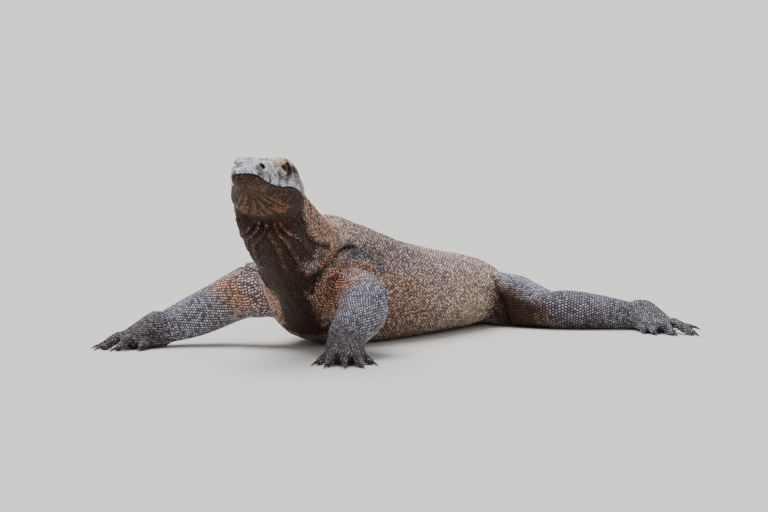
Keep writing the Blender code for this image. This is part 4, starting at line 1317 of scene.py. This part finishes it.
# %% The dome
# Radius and height of each corner's ring, and its lift, which says how near the crown it is.
DOME = ((1.0, -0.35, 0.0), (0.70, 0.66, 0.72))
TOP = ((0.10, 0, 1.0), 1.0)  # the crown leans back a little
form = bmesh.new()
lifts = form.verts.layers.float.new("lift")
rings = []
for radius, height, lift in DOME:
    turns = [math.pi * k / 3 for k in range(6)]
    rings.append([form.verts.new((radius * math.cos(t), radius * math.sin(t), height)) for t in turns])
    for corner in rings[-1]:
        corner[lifts] = lift
top = form.verts.new(TOP[0])
top[lifts] = TOP[1]
low, high = rings
for k in range(6):
    j = (k + 1) % 6
    for three in ((low[k], low[j], high[j]), (low[k], high[j], high[k]), (high[k], high[j], top)):
        form.faces.new(three).smooth = True
dome_mesh = bpy.data.meshes.new("dome")
form.to_mesh(dome_mesh)
form.free()
dome = bpy.data.objects.new("dome", dome_mesh)
DOME_CORNERS = np.array([v.co for v in dome_mesh.vertices])
print("a scale has", len(dome_mesh.polygons), "triangles")

# %% The tree that sets them
setter = bpy.data.node_groups.new("set_scales", "GeometryNodeTree")
SETTINGS = {
    "Scale": ("NodeSocketObject", dome),
    "Fill": ("NodeSocketFloat", 0.93),  # of the space between neighbours
    "Height": ("NodeSocketFloat", 0.001),  # metres in a millimetre
    "Tilt": ("NodeSocketFloat", 0.10),  # radians
    "Seed": ("NodeSocketInt", 3),
    "Material": ("NodeSocketMaterial", scale_keratin),
}
setter.interface.new_socket("Geometry", in_out="INPUT", socket_type="NodeSocketGeometry")
for name, (kind, _) in SETTINGS.items():
    setter.interface.new_socket(name, in_out="INPUT", socket_type=kind)
setter.interface.new_socket("Geometry", in_out="OUTPUT", socket_type="NodeSocketGeometry")
given = add(setter, "NodeGroupInput").outputs
ROOT_VECTORS = ("stand", "lie", "size")
stand, lie, size = (add(setter, "GeometryNodeInputNamedAttribute", {"Name": name},
                        data_type="FLOAT_VECTOR").outputs[0] for name in ROOT_VECTORS)
facing = add(setter, "FunctionNodeAxesToRotation", {"Primary Axis": stand, "Secondary Axis": lie},
             primary_axis="Z", secondary_axis="X").outputs["Rotation"]
least = add(setter, "ShaderNodeMath", {0: given["Tilt"], 1: -1.0}, operation="MULTIPLY").outputs["Value"]
wobble = add(setter, "FunctionNodeRandomValue", {"Min": least, "Max": given["Tilt"], "Seed": given["Seed"]},
             data_type="FLOAT_VECTOR").outputs[0]
facing = add(setter, "FunctionNodeRotateRotation", {"Rotation": facing, "Rotate By": wobble},
             rotation_space="LOCAL").outputs["Rotation"]
stretch = add(setter, "ShaderNodeCombineXYZ", {"X": given["Fill"], "Y": given["Fill"], "Z": given["Height"]})
stretch = add(setter, "ShaderNodeVectorMath", {0: size, 1: stretch.outputs["Vector"]}, operation="MULTIPLY")
shape = add(setter, "GeometryNodeObjectInfo", {"Object": given["Scale"]}).outputs["Geometry"]
copies = add(setter, "GeometryNodeInstanceOnPoints", {
    "Points": given["Geometry"], "Instance": shape, "Rotation": facing, "Scale": stretch.outputs["Vector"]})
real = add(setter, "GeometryNodeRealizeInstances", {"Geometry": copies.outputs["Instances"]})
dressed = add(setter, "GeometryNodeSetMaterial", {
    "Geometry": real.outputs["Geometry"], "Material": given["Material"]})
add(setter, "NodeGroupOutput", {"Geometry": dressed.outputs["Geometry"]})
print("the tree has", len(setter.nodes), "nodes")

# %% [markdown]
# ## Where a scale keeps its colour
# When colours are baked to an image, each scale needs a patch of its own. The patch lies at the scale's
# root on a flat lay of the hide: along the centre line one way, round it the other. Legs and digits get
# strips of their own, as wide as they have scales.

# %% Laying the hide flat
def lay(line, spots):
    """Shares round and along the line of each spot, and how far off it is."""
    places = np.linspace(0, line.last, 120)
    centres = np.array([line.at(place) for place in places])
    found = np.argmin(((spots[:, None] - centres) ** 2).sum(axis=2), axis=1)
    axes = np.array([line.axes(place) for place in places])[found]
    offset = spots - centres[found]
    beyond, left, over = ((offset * axes[:, k]).sum(axis=1) for k in range(3))
    around = np.arctan2(left, over) / (2 * math.pi) + 0.5
    return around, places[found] / line.last + beyond, np.linalg.norm(offset, axis=1)


HEAD_LINE = Line([HEAD_PLACE @ Vector((0, -d, 0.006)) - SHOULDERS for d in (0.0, 0.06, 0.12, 0.19)],
                 0.08, [])


def flat_lay(columns, spots):
    """A place for each spot on the unit square, from columns of lines."""
    best = np.full(len(spots), np.inf)
    home = np.zeros((len(spots), 2), int)
    lays = np.zeros((len(spots), 2))
    for c, column in enumerate(columns):
        for r, line in enumerate(column):
            around, run, gap = lay(line, spots)
            closer = gap < best
            best[closer] = gap[closer]
            home[closer] = (c, r)
            lays[closer] = np.column_stack([around, run])[closer]
    sizes = np.bincount(home[:, 0], minlength=len(columns)) + 1
    starts = np.concatenate([[0], np.cumsum(sizes)]) / sizes.sum()
    flat = np.zeros((len(spots), 2))
    for c, column in enumerate(columns):
        for r in range(len(column)):
            mine = (home[:, 0] == c) & (home[:, 1] == r)
            if not mine.any():
                continue
            part = lays[mine]
            part = (part - part.min(axis=0)) / np.maximum(np.ptp(part, axis=0), 1e-6)
            width = starts[c + 1] - starts[c]
            flat[mine, 0] = starts[c] + width * (0.03 + 0.94 * part[:, 0])
            flat[mine, 1] = (r + 0.02 + 0.96 * part[:, 1]) / len(column)
    return 0.005 + 0.99 * flat


# %% The pieces of the coat
LEG_COLUMNS = [[[limb.line], [palm, *DIGITS[5 * k:5 * k + 5]]]
               for k, (limb, palm) in enumerate(zip(LIMBS, PALMS))]
COAT_PIECES = {
    "scales_head": (SKULL, [[HEAD_LINE]]),
    "scales_neck": (("neck",), [[SPINE]]),
    "scales_chest": (("chest",), [[SPINE]]),
    "scales_belly": (("belly",), [[SPINE]]),
    "scales_hips": (("pelvis", "tail_1"), [[SPINE]]),
    "scales_tail": (("tail_2", "tail_3", "tail_4", "tail_5", "tail_6", "tail_7"), [[SPINE]]),
    "scales_forelegs": (("upper_arm", "forearm", "hand"), LEG_COLUMNS[0] + LEG_COLUMNS[1]),
    "scales_hind_legs": (("thigh", "shank", "foot"), LEG_COLUMNS[2] + LEG_COLUMNS[3]),
}
root_spots = np.array([root.spot for root in roots])
root_parts = np.array([PART[FOUR[root.face][0]] for root in roots])
root_masks = np.array([on_face(root.face, root.spot, MASKS) for root in roots])
root_size = np.array([(0.667 * root.length, 0.5 * root.width) for root in roots])
# Beads are higher the wider they are, in millimetres, and pressed flat on the floor.
height = np.interp(root_size[:, 1] * 2, (0.0025, 0.0060), (0.55, 1.15))
height *= np.interp(root_spots[:, 2], (0.0015, 0.006), (0.5, 1.0))
root_vectors = dict(zip(ROOT_VECTORS, (
    np.array([on_face(root.face, root.spot, N) for root in roots]),
    np.array([root.lie for root in roots]),
    np.column_stack([root_size, height]))))
# How light each bead is, by chance; those of the skull differ less.
chance = rng.uniform(0, 1, len(roots))
chance = np.where(among(root_parts, ("head", "eye")), 0.30 + 0.60 * chance, chance)
UV_STEP = 0.0015  # half a scale's patch, on the unit square
for name, (starts, columns) in COAT_PIECES.items():
    mine = among(root_parts, starts)
    points = bpy.data.meshes.new(name + "_roots")
    points.vertices.add(int(mine.sum()))
    points.vertices.foreach_set("co", root_spots[mine].ravel())
    for key, values in root_vectors.items():
        points.attributes.new(key, "FLOAT_VECTOR", "POINT").data.foreach_set("vector", values[mine].ravel())
    for key, values in (*zip(MASK_NAMES, root_masks.T), ("chance", chance)):
        points.attributes.new(key, "FLOAT", "POINT").data.foreach_set("value", values[mine])
    piece = bpy.data.objects.new(name, points)
    bpy.context.scene.collection.objects.link(piece)
    setting = piece.modifiers.new("scales", "NODES")
    setting.node_group = setter
    for item in setter.interface.items_tree:
        if item.name in SETTINGS:
            setting[item.identifier] = SETTINGS[item.name][1]
    made = applied(piece)
    for key in ROOT_VECTORS:
        made.attributes.remove(made.attributes[key])
    corner = np.empty(len(made.loops), np.int64)
    made.loops.foreach_get("vertex_index", corner)
    scale, corner = np.divmod(corner, len(DOME_CORNERS))
    patch = flat_lay(columns, root_spots[mine])[scale] + DOME_CORNERS[corner, :2] * UV_STEP
    made.uv_layers.new(name="OFBake").data.foreach_set("uv", patch.ravel())
    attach(piece, "root")
    print(f"{name}: {int(mine.sum())} scales, {len(made.polygons)} triangles")

# %% The skin's finish
lid_skin, tree, shader, place = start_material("lid_skin")  # bare, soft and a little greasy
crinkle = add(tree, "ShaderNodeTexNoise", {"Vector": place, "Scale": 700.0, "Detail": 2.0}).outputs["Fac"]
tone = add(tree, "ShaderNodeMix", {"Factor": crinkle, "A": linear("#4a4038"), "B": linear("#a59a86")},
           data_type="RGBA")
feed(shader, {"Base Color": tone.outputs["Result"], "Roughness": 0.45})
for thing in LID_RIMS:
    thing.data.materials.append(lid_skin)
for key, values in zip(MASK_NAMES, MASKS.T):
    skin.data.attributes.new(key, "FLOAT", "POINT").data.foreach_set("value", values)
skin.data.materials.clear()
skin.data.materials.append(hide_leather)
skin.data.shade_smooth()
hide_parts(*FLESH)
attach(skin, "root")

# %% [markdown]
# ## Eyes
# A monitor's eye is dark, with a round pupil and a wet cornea that bulges a little. The eyeball is
# turned from a ball of rings round its own axis, so that iris and pupil are rings of its attribute.

# %% Eyeballs
wet_eye, tree, shader, place = start_material("wet_eye")
turn = add(tree, "ShaderNodeAttribute", attribute_name="turn").outputs["Fac"]
fibre = add(tree, "ShaderNodeTexNoise", {"Vector": place, "Scale": 1400.0, "Detail": 3.0}).outputs["Fac"]
ragged = add(tree, "ShaderNodeMath", {0: fibre, 1: 0.06, 2: turn}, operation="MULTIPLY_ADD").outputs["Value"]
rings = add(tree, "ShaderNodeValToRGB", {"Fac": ragged})
# Radians from the gaze, and colour: pupil, its edge, iris, the dark ring round it, and the white.
RINGS = ((0.0, "#030303"), (0.30, "#040303"), (0.34, "#1c0e07"), (0.50, "#28160b"), (0.66, "#120a06"),
         (0.72, "#080504"), (1.0, "#120c0a"))
ramp = rings.color_ramp
for stop, (at, code) in enumerate(RINGS):
    point = ramp.elements[stop] if stop < 2 else ramp.elements.new(at)
    point.position = at
    point.color = linear(code)
feed(shader, {"Base Color": rings.outputs["Color"], "Roughness": 0.30, "Specular IOR Level": 0.20,
              "Coat Weight": 0.40, "Coat Roughness": 0.03})
CORNEA = 0.65  # radians from the gaze to its edge
BULGE = 0.07  # of the ball's radius
for name in EYES:
    form = bmesh.new()
    turns = form.verts.layers.float.new("turn")
    bmesh.ops.create_uvsphere(form, u_segments=36, v_segments=28, radius=1.0)
    turned = head_way(0.93 * SIDE[name], -0.34, 0.14).normalized().to_track_quat("Z", "Y")
    for v in form.verts:
        tilt = v.co.angle(Vector((0, 0, 1)))
        bulge = 1 + BULGE * max(0, 1 - (tilt / CORNEA) ** 2)
        v[turns] = tilt
        v.co = EYE_CENTRES[name] + turned @ (v.co * (EYE_RADIUS * bulge))
    for face in form.faces:
        face.smooth = True
    eyeball = made_from(form, name + "_ball")
    eyeball.data.materials.append(wet_eye)
    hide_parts(name)
    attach(eyeball, "root")
print("eyes", round(2000 * EYE_RADIUS, 1), "mm across")

# %% [markdown]
# ## Claws
# Hooks of dark horn. The solids' claws have five flat sides, so each is rounded by subdivision.

# %% Rounding the claws
claw_horn, tree, shader, place = start_material("claw_horn")
streak = add(tree, "ShaderNodeTexNoise", {"Vector": place, "Scale": 320.0, "Detail": 3.0}).outputs["Fac"]
tone = add(tree, "ShaderNodeMix", {"Factor": streak, "A": linear("#15120f"), "B": linear("#4a4038")},
           data_type="RGBA")
feed(shader, {"Base Color": tone.outputs["Result"], "Roughness": 0.32})
form = bmesh.new()
for name in CLAWS:
    form.from_mesh(NODES[name].data)
bmesh.ops.remove_doubles(form, verts=form.verts, dist=1e-6)
claws = made_from(form, "claws")
claws.data.materials.append(claw_horn)
rounding = claws.modifiers.new("rounding", "SUBSURF")
rounding.levels = 2
rounding.render_levels = 2
applied(claws).shade_smooth()
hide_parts(*CLAWS)
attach(claws, "root")

# %% Sizes, and the end
total = sum(len(face.vertices) - 2 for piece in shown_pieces() for face in piece.data.polygons)
print("triangles in all:", total)
